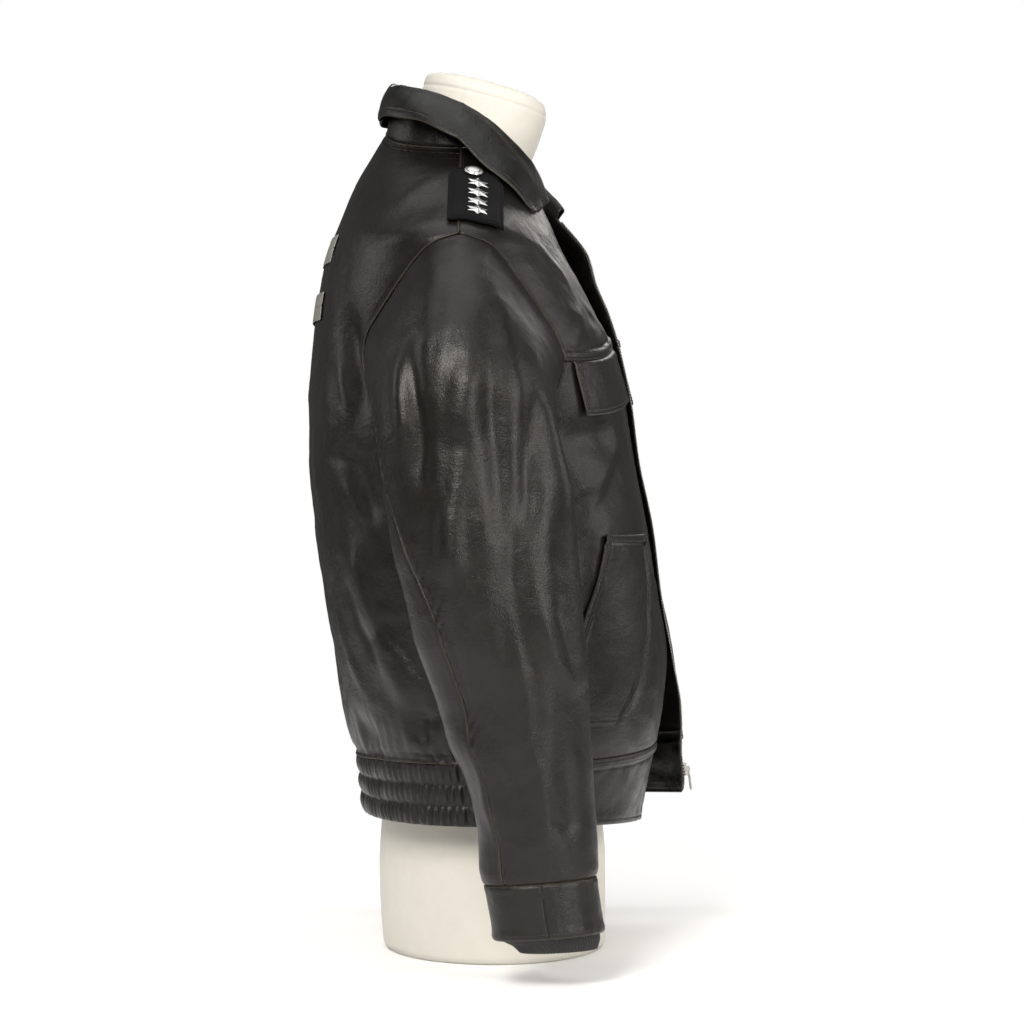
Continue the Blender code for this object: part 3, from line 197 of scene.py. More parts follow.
@dataclass(frozen=True)
class Crease:
    """A ridge, or a trough where depth is under 0, through a run of places on a surface."""

    places: tuple[Place, ...]
    width: float
    depth: float
    side: int

    def share(self, x: Grid, y: Grid, across_unit: float) -> Grid:
        """How strongly the crease acts at each place.

        Args:
            x: first coordinate of each place, in the table's own unit.
            y: height of each place.
            across_unit: metres for each unit of x.

        Returns:
            1 on the crease's line, fading to 0 on both sides and at its ends.
        """
        best = np.full(np.shape(x), np.inf)
        reached = np.zeros(np.shape(x))
        length = np.zeros(np.shape(x))
        for (ax, ay), (bx, by) in zip(self.places, self.places[1:]):
            ax, bx = ax * across_unit, bx * across_unit
            run_x, run_y = bx - ax, by - ay
            t = ((x * across_unit - ax) * run_x + (y - ay) * run_y) / (run_x**2 + run_y**2)
            t = np.clip(t, 0.0, 1.0)
            gap = (x * across_unit - ax - t * run_x) ** 2 + (y - ay - t * run_y) ** 2
            span = np.hypot(run_x, run_y)
            nearer = gap < best
            reached = np.where(nearer, length + t * span, reached)
            best = np.where(nearer, gap, best)
            length = length + span
        part = reached / length
        taper = smooth_step(*CREASE_ENDS, part) * smooth_step(*CREASE_ENDS, 1.0 - part)
        return np.exp(-best / self.width**2) * taper


def creases(side: int, scale: int, *rows: tuple[int, ...]) -> tuple[Crease, ...]:
    """Creases of one side or face from the rows of a table.

    Args:
        side: the side or face that has them.
        scale: DEGREES or HUNDREDTHS, the unit of each place's first coordinate.
        rows: width and depth in tenths of a millimetre, then the first coordinate and the
            height in millimetres of each place along the crease.

    Returns:
        The creases.
    """
    found = []
    for width, depth, *run in rows:
        places = tuple((x / scale, y / 1000.0) for x, y in zip(run[::2], run[1::2]))
        found.append(Crease(places, width / 10000.0, depth / 10000.0, side))
    return tuple(found)


# The jacket's shape


@dataclass(frozen=True)
class Levels:
    """Heights of the seam levels at each front edge, the centre back and the side."""

    front_right: Column = mm(124, 197, 500, 577, 665, 705)
    front_left: Column = mm(143, 203, 500, 577, 665, 705)
    back: Column = mm(133, 186, 500, 565, 700, 785)
    side: Column = mm(131, 189, 485, 555, 667.5, 760)
    hem: float = 0.0
    band_seam: float = 1.0
    armpit: float = 2.0
    chest_seam: float = 3.0
    shoulder_tip: float = 4.0
    yoke_seam: float = 4.87
    neck: float = 5.0


@dataclass(frozen=True)
class ArmholeTable:
    """The armhole from the armpit to the shoulder tip: y of its front and back at each height."""

    height: Column = mm(485, 489.5, 513, 555, 578, 598, 615, 632, 648, 660, 667.5)
    front: Column = mm(30, 0, -43, -59.5, -52.5, -39.5, -27.5, -15, -3, 12.5, 35.6)
    back: Column = mm(30, 62, 109, 126.5, 120.5, 108, 96.5, 84.5, 72, 58, 35.6)
    chest_step: int = 3


class Face(Enum):
    """The two faces of the jacket's body."""

    FRONT = "front"
    BACK = "back"


@dataclass(frozen=True)
class BodyShape:
    """Sections of the jacket's body, its open front edges, and its folds."""

    height: Column = mm(
        120, 156, 186, 206, 228, 268, 336, 400, 467, 520, 577, 610, 640, 658, 667.5, 700, 730, 760,
        785)
    half_width: Column = mm(
        199, 202, 207, 216, 220, 223, 227, 229, 230, 231, 234, 237, 239, 239, 235, 182, 131, 80,
        62)
    middle: Column = mm(
        -2, 0, 2, 6, 10, 14, 21, 25, 29, 31, 33, 34, 35, 35.5, 35.6, 36, 35.5, 35, 34)
    back: Column = mm(
        129, 132, 136, 144, 150, 157, 167, 177, 182, 182, 179, 176, 170, 166, 163, 151, 139, 122,
        107)
    front_right: Column = mm(
        -134, -141, -147, -151, -155, -158, -150, -141, -128, -120, -106, -89, -74, -64, -59, -46,
        -34, -12, -4)
    front_left: Column = mm(
        -174, -181, -178, -178, -177, -169, -157, -149, -135, -128, -116, -106, -94, -90, -87, -64,
        -42, -14, -4)
    power: Column = (2.3,) * 7 + (2.25, 2.2, 2.2, 2.15, 2.1, 2.05) + (2.0,) * 6
    edge_height: Column = mm(120, 200, 300, 400, 500, 579, 620, 660, 709)
    edge_right: Column = mm(40, 34, 26, 21, 19, 22, 31, 42, 55)
    edge_left: Column = mm(44, 37, 28, 22, 19, 21, 28, 39, 55)
    levels: Levels = Levels()
    armhole: ArmholeTable = ArmholeTable()
    degree: float = 0.00323
    level_off: float = 0.06
    nudge: float = 0.004
    folds: tuple[Crease, ...] = (
        creases(
            RIGHT, DEGREES,
            (170, -90, 139, 607, 123, 500), (180, -60, 134, 483, 121, 400),
            (220, 40, 147, 540, 140, 480), (180, 60, 136, 391, 128, 303),
            (180, 60, 128, 303, 112, 240), (160, -90, 112, 240, 113, 205),
            (160, -60, 135, 206, 150, 212), (160, 50, 122, 215, 100, 212),
            (180, -60, 28, 494, 60, 480), (180, -50, 24, 470, 56, 400),
            (200, 45, 40, 440, 62, 330), (220, -40, 20, 300, 40, 205))
        + creases(
            LEFT, DEGREES,
            (180, -80, 137, 600, 125, 495), (180, -55, 131, 470, 122, 380),
            (220, 35, 146, 530, 141, 470), (200, 60, 137, 370, 120, 260),
            (160, -80, 115, 245, 117, 205), (160, -50, 140, 210, 152, 214),
            (180, -55, 30, 488, 60, 474), (180, -45, 26, 460, 54, 385),
            (220, -45, 18, 290, 42, 215))
        + creases(BOTH, DEGREES, (300, 30, 172, 420, 164, 300), (240, -30, 165, 500, 176, 240))
    )
    creases: tuple[Crease, ...] = (
        creases(
            RIGHT, DEGREES,
            (60, -18, 146, 470, 130, 461), (70, 22, 141, 560, 134, 520, 133, 476),
            (60, 20, 131, 575, 125, 535, 120, 488), (70, 20, 139, 450, 131, 425, 122, 385),
            (70, 22, 134, 394, 128, 341, 124, 302, 116, 283, 108, 245),
            (80, -22, 142, 360, 134, 310, 126, 270), (80, 20, 152, 330, 146, 280, 137, 245),
            (80, 14, 98, 725, 110, 715, 122, 701), (80, -14, 96, 701, 110, 693, 124, 682),
            (80, 14, 94, 677, 110, 670, 124, 662), (80, 26, 44, 667, 28, 614, 6, 576),
            (70, -20, 38, 640, 22, 600, 10, 588), (80, 22, 28, 614, 50, 566),
            (80, 24, 22, 494, 46, 432, 58, 398), (70, 18, 30, 470, 44, 445, 66, 425),
            (80, 24, 22, 379, 10, 345, 6, 312, 5, 250), (90, -20, 30, 330, 16, 300, 12, 240),
            (100, 22, 84, 400, 78, 330, 82, 260), (90, -20, 74, 420, 68, 360, 72, 300))
        + creases(
            LEFT, DEGREES,
            (60, -16, 146, 460, 132, 450), (70, 20, 140, 550, 134, 510, 132, 466),
            (70, 20, 138, 440, 130, 415, 122, 375),
            (70, 20, 136, 384, 129, 331, 122, 292, 112, 255),
            (80, -20, 150, 330, 144, 280, 136, 240), (80, 13, 97, 722, 110, 711, 121, 699),
            (80, -13, 95, 692, 110, 684, 123, 672), (80, 24, 42, 660, 27, 610, 7, 572),
            (80, 20, 30, 610, 50, 562), (80, 22, 23, 488, 46, 428, 58, 392),
            (80, 22, 20, 370, 9, 335, 6, 300, 6, 240), (100, 20, 83, 390, 79, 320, 83, 255))
        + creases(
            BOTH, DEGREES,
            (100, 14, 178, 560, 172, 500, 176, 450), (100, 16, 160, 470, 152, 410, 156, 350),
            (90, -18, 168, 300, 160, 250, 163, 215))
    )

    def __post_init__(self) -> None:
        """Prepares a curve for each column."""
        for name in ("half_width", "middle", "back", "front_right", "front_left", "power"):
            object.__setattr__(self, name + "_at", Curve(self.height, getattr(self, name)))
        edges = {RIGHT: Curve(self.edge_height, self.edge_right),
                 LEFT: Curve(self.edge_height, self.edge_left)}
        object.__setattr__(self, "edge_at", edges)
        steps = tuple(range(len(self.armhole.height)))
        hole = {name: Curve(steps, getattr(self.armhole, name))
                for name in ("height", "front", "back")}
        object.__setattr__(self, "hole_at", hole)

    def front_at(self, side: int, height: Number) -> Grid:
        """y of the front of a section."""
        return self.front_right_at(height) if side == RIGHT else self.front_left_at(height)

    def base(self, side: int, turn: Grid, height: Grid) -> Grid:
        """Points of the smooth body at a turn, from centre front (0) to centre back (pi)."""
        bow = 2.0 / self.power_at(height)
        x = self.half_width_at(height) * np.maximum(np.sin(turn), 0.0) ** bow
        middle = self.middle_at(height)
        wall = np.where(turn < math.pi / 2, self.front_at(side, height), self.back_at(height))
        y = middle + (wall - middle) * np.abs(np.cos(turn)) ** bow
        return stack(side * x, y, height)

    def fold(self, side: int, turn: Grid, height: Grid) -> Grid:
        """How far the folds and creases move the cloth out."""
        degrees = np.degrees(turn)
        total = np.zeros(np.shape(turn))
        for crease in self.folds + self.creases:
            if crease.side in (side, BOTH):
                total = total + crease.depth * crease.share(degrees, height, self.degree)
        return total

    def normal(self, side: int, turn: Grid, height: Grid) -> Grid:
        """Directions out of the smooth body."""
        low = np.maximum(turn - self.nudge, 0.0)
        high = np.minimum(turn + self.nudge, math.pi)
        by_turn = self.base(side, high, height) - self.base(side, low, height)
        by_height = (
            self.base(side, turn, height + self.nudge) - self.base(side, turn, height - self.nudge)
        )
        return unit(side * np.cross(by_turn, by_height))

    def point(self, side: int, turn: Grid, height: Grid, out: Number = 0.0) -> Grid:
        """Points of the folded cloth, moved out by a distance."""
        reach = self.fold(side, turn, height) + out
        return self.base(side, turn, height) + self.normal(side, turn, height) * reach[..., None]

    def turn_at_x(self, height: Number, across: Number) -> Grid:
        """Turn, on the front, at which a section is this far from the middle line."""
        share = across / self.half_width_at(height)
        return np.arcsin(share ** (self.power_at(height) / 2.0))

    def turn_at_y(self, side: int, height: float, y: float) -> float:
        """Turn at which a section has this y."""
        middle = self.middle_at(height)
        power = self.power_at(height) / 2.0
        if y < middle:
            share = (middle - y) / (middle - self.front_at(side, height))
            return float(np.arccos(min(share, 1.0) ** power))
        share = (y - middle) / (self.back_at(height) - middle)
        return float(math.pi - np.arccos(min(share, 1.0) ** power))

    def level_height(self, column: Column, level: float) -> float:
        """Height of a seam level in one column of the table."""
        return float(np.interp(level, range(len(column)), column))

    def inner_height(self, side: int, face: Face, level: float) -> float:
        """Height of a level at the front edge or the centre back."""
        if face is Face.BACK:
            return self.level_height(self.levels.back, level)
        name = "front_right" if side == RIGHT else "front_left"
        return self.level_height(getattr(self.levels, name), level)

    def side_end(self, side: int, face: Face, level: float) -> Place:
        """Turn and height where a row of a panel ends, at the side, armhole or shoulder."""
        levels = self.levels
        if not levels.armpit < level < levels.shoulder_tip:
            return math.pi / 2, self.level_height(levels.side, level)
        last = len(self.armhole.height) - 1
        if level <= levels.chest_seam:
            step = (level - levels.armpit) * self.armhole.chest_step
        else:
            share = level - levels.chest_seam
            step = self.armhole.chest_step + share * (last - self.armhole.chest_step)
        height = float(self.hole_at["height"](step))
        y = float(self.hole_at[face.value](step))
        return self.turn_at_y(side, height, y), height

    def place(self, side: int, face: Face, across: Grid, level: Grid) -> tuple[Grid, Grid]:
        """Turn and height of places on a panel.

        Args:
            side: RIGHT or LEFT.
            face: front or back.
            across: 0 at the panel's inner edge to 1 at its side, one for each place.
            level: seam level of each place, the same along a row.

        Returns:
            The turns and the heights.
        """
        rows = level[:, 0]
        ends = np.array([self.side_end(side, face, value) for value in rows])
        inner = np.array([self.inner_height(side, face, value) for value in rows])[:, None]
        outer_turn, outer_height = ends[:, 0][:, None], ends[:, 1][:, None]
        if face is Face.FRONT:
            inner_turn = self.turn_at_x(inner, self.edge_at[side](inner))
        else:
            inner_turn = np.full_like(inner, math.pi)
        level_off = self.level_off if face is Face.BACK else 0.0
        away = (np.hypot(across, level_off) - level_off) / (math.hypot(1.0, level_off) - level_off)
        height = blend(outer_height, inner, (1.0 - away) ** 2)
        return blend(inner_turn, outer_turn, across), height

    def panel(self, side: int, face: Face, across: Grid, level: Grid, out: Number = 0.0) -> Grid:
        """Points of the cloth at places on a panel."""
        turn, height = self.place(side, face, across, level)
        return self.point(side, turn, height, out)

    def shoulder_height(self, side: int, x: Grid, y: Grid) -> Grid:
        """Height of the smooth shoulder at a distance x from the middle line, by halving."""
        low = np.full(np.shape(x), self.levels.side[2])
        high = np.full(np.shape(x), self.levels.back[5])
        for _ in range(26):
            middle = (low + high) / 2.0
            centre = self.middle_at(middle)
            wall = np.where(y < centre, self.front_at(side, middle), self.back_at(middle))
            power = self.power_at(middle)
            outside = (
                np.abs(x / self.half_width_at(middle)) ** power
                + np.abs((y - centre) / (wall - centre)) ** power
                > 1.0
            )
            high = np.where(outside, middle, high)
            low = np.where(outside, low, middle)
        return low

    def shoulder(self, side: int, x: Grid, y: Grid, out: Number = 0.0) -> Grid:
        """Points over the shoulder, moved out along its slope."""
        step = self.nudge
        by_x = self.shoulder_height(side, x + step, y) - self.shoulder_height(side, x - step, y)
        by_y = self.shoulder_height(side, x, y + step) - self.shoulder_height(side, x, y - step)
        normal = unit(stack(-by_x / (2 * step), -by_y / (2 * step), 1.0))
        point = stack(x, y, self.shoulder_height(side, x, y)) + normal * np.array(out)[..., None]
        return point * np.array((side, 1.0, 1.0))


@dataclass(frozen=True)
class RingTable:
    """Rings of a sleeve or cuff; tilt, in degrees, lifts the front of a ring."""

    height: Column
    lateral: Column
    centre_y: Column
    width: Column
    thickness: Column
    tilt: Column
    drop: Column = ()
    power: float = 2.15

    def __post_init__(self) -> None:
        """Prepares a curve for each column."""
        for name in ("lateral", "centre_y", "width", "thickness", "tilt"):
            object.__setattr__(self, name + "_at", Curve(self.height, getattr(self, name)))
        drop = self.drop or tuple(0.0 for _ in self.height)
        object.__setattr__(self, "drop_at", Curve(self.height, drop))

    def point(self, side: int, height: Grid, turn: Grid, out: Number = 0.0) -> Grid:
        """Points of the rings: turn 0 is the outer line, pi / 2 the front, pi the inner line."""
        height, turn, out = np.broadcast_arrays(height, turn, out)
        bow = 2.0 / self.power
        tilt = np.radians(self.tilt_at(height))
        cosine, sine = np.cos(turn), np.sin(turn)
        wide = np.sign(cosine) * np.abs(cosine) ** bow
        fore = np.sign(sine) * np.abs(sine) ** bow * (self.width_at(height) / 2 + out)
        span = self.thickness_at(height) / 2 + out
        x = side * (self.lateral_at(height) + span * wide)
        y = self.centre_y_at(height) - np.cos(tilt) * fore
        z = height + self.drop_at(height) / 2 * wide + np.sin(tilt) * fore
        return stack(x, y, z)


OUTER = 1
INNER = -1


@dataclass(frozen=True)
class SleeveShape:
    """Sleeve rings below the armhole, its seams, and its folds on the outer and inner faces."""

    body: BodyShape
    rings: RingTable = RingTable(
        height=mm(93, 103, 129, 159, 188, 218, 248, 278, 308, 354, 385, 420, 445, 475),
        lateral=mm(290, 290, 291, 292, 294, 296, 298, 300, 302, 303, 303, 302, 301, 300),
        centre_y=mm(
            -36.7, -35.8, -34.9, -31.4, -27, -19, -14.6, -8.5, -1.4, 5.6, 10.9, 15.3, 20.5, 26.2),
        width=mm(98.5, 103.5, 104, 106, 113, 124.6, 131, 140, 148, 155, 161, 164, 162, 158),
        thickness=mm(70.5, 75, 78, 80, 84, 88, 92, 98, 102, 106, 108, 110, 112, 114),
        tilt=(4.6, 3.4, 2.0, 2.9, 3.6, 5.0, 5.0, 4.7, 4.5, 6.0, 7.0, 8.5, 9.0, 9.0),
        drop=mm(0, 0, 0, 0, 0, 0, 0, 0, 4, 7, 12, 22, 34, 50),
    )
    rear_height: Column = mm(93, 305, 380, 475)
    rear_turn: Column = (322.0, 319.0, 303.0, 276.0)
    front_turn: float = 125.0
    armhole_turn: float = 268.0
    left_drop: float = 0.012
    seam_gap: float = 0.0003
    leather: float = 0.0016
    cap_fall: float = 0.45
    cap_lead: Place = (0.7, 0.5)
    cap_trail: Place = (0.6, 0.5)
    fold_growth: Place = (0.02, 0.40)
    folds: tuple[Crease, ...] = (
        creases(
            OUTER, HUNDREDTHS,
            (110, 50, -66, 560, -64, 450), (100, -60, -46, 550, -60, 430),
            (110, 40, -20, 590, -46, 485), (110, -40, -12, 540, -30, 400),
            (140, 50, 5, 530, -13, 455), (130, 40, -13, 455, -40, 350),
            (150, -40, 25, 500, 10, 400), (130, -60, 78, 500, 44, 390),
            (140, 40, 90, 520, 86, 380), (130, 45, 17, 330, 12, 120), (120, 45, 46, 340, 82, 250),
            (120, 45, -66, 240, -64, 125), (130, -40, -25, 300, -30, 150),
            (120, -35, 50, 220, 48, 120),
            (75, 22, -34, 602, -31, 590, -41, 576, -56, 562, -62, 544, -67, 513, -67, 493,
             -64, 456, -70, 432),
            (70, -20, -53, 544, -53, 500, -56, 456, -64, 427),
            (70, 16, -24, 580, -38, 551, -47, 519, -47, 470),
            (70, 22, -11, 602, -14, 557, -24, 515, -31, 461, -38, 437, -38, 408, -44, 380,
             -50, 351, -59, 308),
            (90, 14, -4, 535, -7, 466, -14, 442, -28, 413, -31, 384, -38, 356),
            (90, 16, 0, 442, -4, 403, -7, 375, -17, 346, -24, 308),
            (80, -16, 67, 470, 53, 437, 44, 403, 38, 380), (60, 14, 30, 430, 22, 395, 10, 362),
            (55, 18, 14, 327, 14, 294, 11, 246, 7, 222, 11, 189, 14, 155, 11, 107),
            (50, 14, 44, 332, 53, 284, 83, 251), (55, 16, -64, 241, -59, 208, -70, 165, -59, 131),
            (40, -10, -40, 190, -20, 176, 2, 184), (40, -10, 20, 152, 45, 140, 70, 146),
            (40, 9, -50, 132, -20, 124, 10, 128),
            (90, 30, -5, 632, -12, 540, -22, 440, -30, 330, -34, 200, -30, 110),
            (100, 29, 12, 640, 10, 540, 4, 430, -6, 320, -10, 200, -5, 100),
            (90, -20, 27, 632, 30, 540, 26, 430, 22, 300, 26, 160),
            (100, 26, 44, 622, 56, 540, 62, 440, 62, 320, 56, 200),
            (90, -18, -16, 625, -20, 560, -32, 500),
            (90, 30, -30, 440, -42, 330, -50, 210, -48, 120),
            (100, 29, 44, 420, 42, 300, 36, 180, 38, 100), (80, -18, -46, 350, -56, 250, -60, 160),
            (80, -24, 2, 340, 6, 240, 2, 150), (80, -12, -10, 560, 20, 552, 45, 560))
        + creases(
            INNER, HUNDREDTHS,
            (160, -40, 30, 420, 60, 320), (160, 40, -20, 400, -45, 280),
            (160, -35, 10, 280, 20, 150), (60, 18, -30, 470, 10, 440, 40, 400),
            (70, -18, 50, 360, 20, 300, 10, 230), (70, 18, -40, 250, -10, 200, 0, 140))
    )

    def __post_init__(self) -> None:
        """Prepares the armhole's line round each sleeve and the rear seam."""
        object.__setattr__(self, "rear_at", Curve(self.rear_height, self.rear_turn))
        holes = {side: self.hole(side) for side, _ in SIDES}
        object.__setattr__(self, "holes", holes)

    def hole(self, side: int) -> tuple[Grid, Grid, Grid]:
        """The armhole as turns, points and centre, from the shoulder tip down the front."""
        levels = self.body.levels
        level = np.linspace(levels.armpit, levels.shoulder_tip, 91)[:, None]
        edge = np.ones_like(level)
        front = self.body.panel(side, Face.FRONT, edge, level)[:, 0]
        back = self.body.panel(side, Face.BACK, edge, level)[:, 0]
        points = np.concatenate((front[::-1], back[1:]))
        lengths = run_lengths(points, 0)
        pit = lengths[len(front) - 1]
        rear = math.pi * (1.0 + (lengths - pit) / (lengths[-1] - pit))
        turns = np.where(lengths <= pit, math.pi * lengths / pit, rear)
        return turns, points, points[:-1].mean(axis=0)

    def at_hole(self, side: int, turn: Grid) -> Grid:
        """Points of the armhole at a turn, moved into the hole to clear the panel's edge."""
        turns, points, centre = self.holes[side]
        turn = np.mod(turn, FULL_TURN)
        point = np.stack([np.interp(turn, turns, points[:, axis]) for axis in range(3)], axis=-1)
        inward = (centre - point) * np.array((0.0, 1.0, 1.0))
        under = (1.0 - np.cos(turn)) / 2.0
        clear = self.seam_gap + self.leather / 2 * (1.1 + 0.5 * under)
        return point + unit(inward) * clear[..., None]

    def fold(self, side: int, turn: Grid, height: Grid) -> Grid:
        """How far folds and creases move the sleeve out."""
        outer = np.cos(turn) >= 0.0
        half = self.rings.width_at(height) / 2
        across = np.sin(turn)
        height = height + (self.left_drop if side == LEFT else 0.0)
        total = np.zeros(np.shape(height))
        for crease in self.folds:
            share = crease.depth * crease.share(across, height, half)
            total = total + np.where(outer == (crease.side == OUTER), share, 0.0)
        return total * np.minimum(np.abs(np.cos(turn)) * 2.5, 1.0)

    def point(self, side: int, along: Grid, turn: Grid, out: Number = 0.0) -> Grid:
        """Points of the sleeve.

        Args:
            side: RIGHT or LEFT.
            along: 0 at the armhole, 1 at the first full ring, 2 at the cuff seam.
            turn: turn round the sleeve from its outer line over its front.
            out: distance out of the cloth.

        Returns:
            The points, with the folds in them.
        """
        along, turn = np.broadcast_arrays(along, turn)
        rings = self.rings
        top, foot = rings.height[-1], rings.height[0]
        height = blend(top, foot, np.clip(along - 1.0, 0.0, 1.0))
        here = rings.point(side, height, turn)
        outward = unit(rings.point(side, height, turn, 0.01) - here)
        lower = here + outward * (self.fold(side, turn, height) + out)[..., None]
        start, end = self.at_hole(side, turn), rings.point(side, top, turn)
        below = rings.point(side, top - 0.03, turn)
        chord = np.linalg.norm(end - start, axis=-1)
        over = (1.0 + np.cos(turn)) / 2.0
        lead = unit(stack(float(side), 0.0, -self.cap_fall * over))
        lead = lead * (chord * (self.cap_lead[0] + self.cap_lead[1] * over))[..., None]
        trail = chord * (self.cap_trail[0] + self.cap_trail[1] * over)
        trail = unit(below - end) * trail[..., None]
        cap = hermite(start, end, lead, trail, np.clip(along, 0.0, 1.0)[..., None])
        outward = unit(rings.point(side, top, turn, 0.01) - end)
        grow = smooth_step(*self.fold_growth, along)
        level = cap[..., 2] - (end[..., 2] - top) * smooth_step(0.3, 1.0, along)
        reach = self.fold(side, turn, level) * grow + out
        upper = cap + outward * reach[..., None]
        return np.where((along >= 1.0)[..., None], lower, upper)

    def rear_seam(self, along: Grid) -> Grid:
        """Turn of the rear seam, from the armhole to the cuff."""
        rings = self.rings
        height = blend(rings.height[-1], rings.height[0], np.maximum(along - 1.0, 0.0))
        ring_turn = self.rear_at(height)
        return np.radians(blend(self.armhole_turn, ring_turn, np.minimum(along, 1.0)))


CUFF_RINGS = RingTable(
    height=mm(44, 92.7),
    lateral=mm(289, 290),
    centre_y=mm(-44.6, -36.7),
    width=mm(97.5, 98.5),
    thickness=mm(70, 70.5),
    tilt=(4.6, 4.6),
)
KNIT_RINGS = RingTable(
    height=mm(31, 37.5, 44, 56),
    lateral=mm(288, 288, 289, 289),
    centre_y=mm(-53, -51, -45.8, -43),
    width=mm(70, 78, 88, 94.1),
    thickness=mm(52, 57, 62, 66.6),
    tilt=(3.0, 4.0, 4.6, 4.6),
)


@dataclass(frozen=True)
class CollarShape:
    """The collar from the centre back (place 0) past the neck side (0.5) to its front end (1)."""

    body: BodyShape
    place: Column = (0.0, 0.04, 0.125, 0.25, 0.375, 0.5, 0.75, 1.0)
    rise: Column = mm(45, 45.4, 49.2, 56, 53, 42, 25, 11)
    lean: Column = mm(10, 10, 9, 8, 6, 4, 1, 0)
    out: Column = mm(6.6, 6.8, 9, 15, 24, 36, 52, 60)
    fall: Column = mm(11, 11.4, 17.5, 26, 24, 6, -12, -14)
    turn: Column = (180.0, 173.0, 159.0, 138.0, 117.0, 96.0, 97.0, 97.0)
    lift: float = 0.0014
    radius: float = 0.0050
    rest: float = 0.0046
    bend: Place = (0.004, 0.003)
    square: float = 0.8

    def neckline(self, side: int, place: Grid) -> Grid:
        """Points of the neck seam."""
        level = np.full((1, 1), self.body.levels.neck)
        back = self.body.panel(side, Face.BACK, np.minimum(place * 2.0, 1.0)[None], level)[0]
        front = self.body.panel(side, Face.FRONT, np.clip(2.0 - place * 2.0, 0.0, 1.0)[None],
                                level)[0]
        return np.where((place <= 0.5)[:, None], back, front)

    def profile(self, side: int, place: Grid) -> Grid:
        """Nine points across the collar at each place: stand, roll and fall."""
        value = {name: Curve(self.place, getattr(self, name))(place)[:, None]
                 for name in ("rise", "lean", "out", "fall")}
        turn = np.radians(Curve(self.place, self.turn)(place))
        upward = np.array((0.0, 0.0, 1.0))
        foot = self.neckline(side, place)
        outward = stack(side * np.sin(turn), -np.cos(turn), 0.0)
        run = unit(self.neckline(side, np.minimum(place + 0.03, 1.0))
                   - self.neckline(side, np.maximum(place - 0.03, 0.0)))
        rise = unit(upward - run * (run[:, 2] * smooth_step(0.4, 0.8, place))[:, None])
        square = side * unit(np.cross(upward, run))
        over = unit(blend(outward, square, self.square * smooth_step(0.6, 0.9, place)[:, None]))
        roll = foot + rise * value["rise"] - over * value["lean"]
        edge = foot + outward * value["out"] + upward * value["fall"]
        radius = np.minimum(self.radius, value["rise"] * 0.3)
        start = foot + rise * self.lift
        crown_in = roll - rise * radius
        crown_out = roll + over * radius * 2.0 - rise * radius * 0.9
        points = [start, blend(start, crown_in, 0.5), crown_in, roll + over * radius, crown_out]
        bend = blend(crown_out, edge, 0.5) + outward * self.bend[0] + upward * self.bend[1]
        for t in (0.25, 0.5, 0.75, 1.0):
            points.append(crown_out * (1 - t) ** 2 + bend * 2.0 * t * (1 - t) + edge * t * t)
        for point in points[4:]:
            floor = self.body.shoulder_height(side, np.abs(point[:, 0]), point[:, 1]) + self.rest
            point[:, 2] = np.maximum(point[:, 2], floor)
        return np.stack(points)


@dataclass(frozen=True)
class FormShape:
    """Sections of the dress form: torso, shoulders under the cloth and leaning neck."""

    body: BodyShape
    height: Column = mm(
        0, 6, 80, 180, 270, 380, 480, 560, 620, 655, 675, 700, 730, 752, 772, 795, 815, 824, 828)
    half_width: Column = mm(
        156, 160, 163, 148, 142, 156, 171, 184, 198, 206, 202, 175, 122, 85, 65, 59, 57.5, 54.5,
        47)
    front: Column = mm(
        -98, -102, -102, -92, -88, -94, -98, -84, -62, -47, -41, -36, -31, -30, -35, -41, -45, -43,
        -36)
    middle: Column = mm(
        4, 4, 4, 6, 8, 14, 22, 28, 34, 35.6, 35.8, 36, 35.5, 32, 24, 17, 14, 13, 12)
    back: Column = mm(
        108, 112, 116, 108, 106, 122, 140, 146, 142, 136, 130, 124, 116, 106, 92, 79, 73.5, 70, 61)
    slope: Column = (0.0,) * 12 + (0.02, 0.06, 0.12, 0.2, 0.26, 0.26, 0.26)
    power: Column = (2.0,) * 9 + (1.9, 1.8, 1.65, 1.55, 1.5, 1.8) + (2.0,) * 4
    seat_drop: float = 0.0018
    seat: Column = mm(685, 702, 745, 757)

    def point(self, height: Grid, turn: Grid, out: Number = 0.0) -> Grid:
        """Points of the form at a height and a turn from its front, moved out a little."""
        height, turn, out = np.broadcast_arrays(height, turn, out)
        value = {name: Curve(self.height, getattr(self, name))(height)
                 for name in ("half_width", "front", "middle", "back", "slope", "power")}
        rise, full, fall, gone = self.seat
        share = smooth_step(rise, full, height) * (1.0 - smooth_step(fall, gone, height))
        half = blend(value["half_width"], self.body.half_width_at(height + self.seat_drop), share)
        bow = 2.0 / value["power"]
        cosine, sine = np.cos(turn), np.sin(turn)
        wall = np.where(cosine > 0.0, value["front"], value["back"])
        fore = np.abs(cosine) ** bow
        x = (half + out) * np.sign(sine) * np.abs(sine) ** bow
        y = value["middle"] + (wall - value["middle"] + np.sign(-cosine) * out) * fore
        return stack(x, y, height + value["slope"] * (y - value["middle"]))


# Cloth and its sewing


class Hem(Enum):
    """What is done to the edge of a sheet."""

    PLAIN = "hidden or cut edge"
    SEAM = "sewn to its neighbour"
    STITCHED = "sewn, with a row of topstitching"
    BANDED = "raised band between two rows of stitching"
    TURNED = "free edge, turned in and stitched"
    PUCKERED = "sewn, with the cloth drawn into small puckers"
    GATHERED = "sewn to an elastic band, with gathers that fade away from it"


@dataclass(frozen=True)
class Profile:
    """Relief of a hem by the distance from the edge, and where its stitching runs."""

    distance: Column
    rise: Column
    rows: Column = ()
    pucker: float = 0.0
    wave: float = 0.0105
    fade: float = 0.011


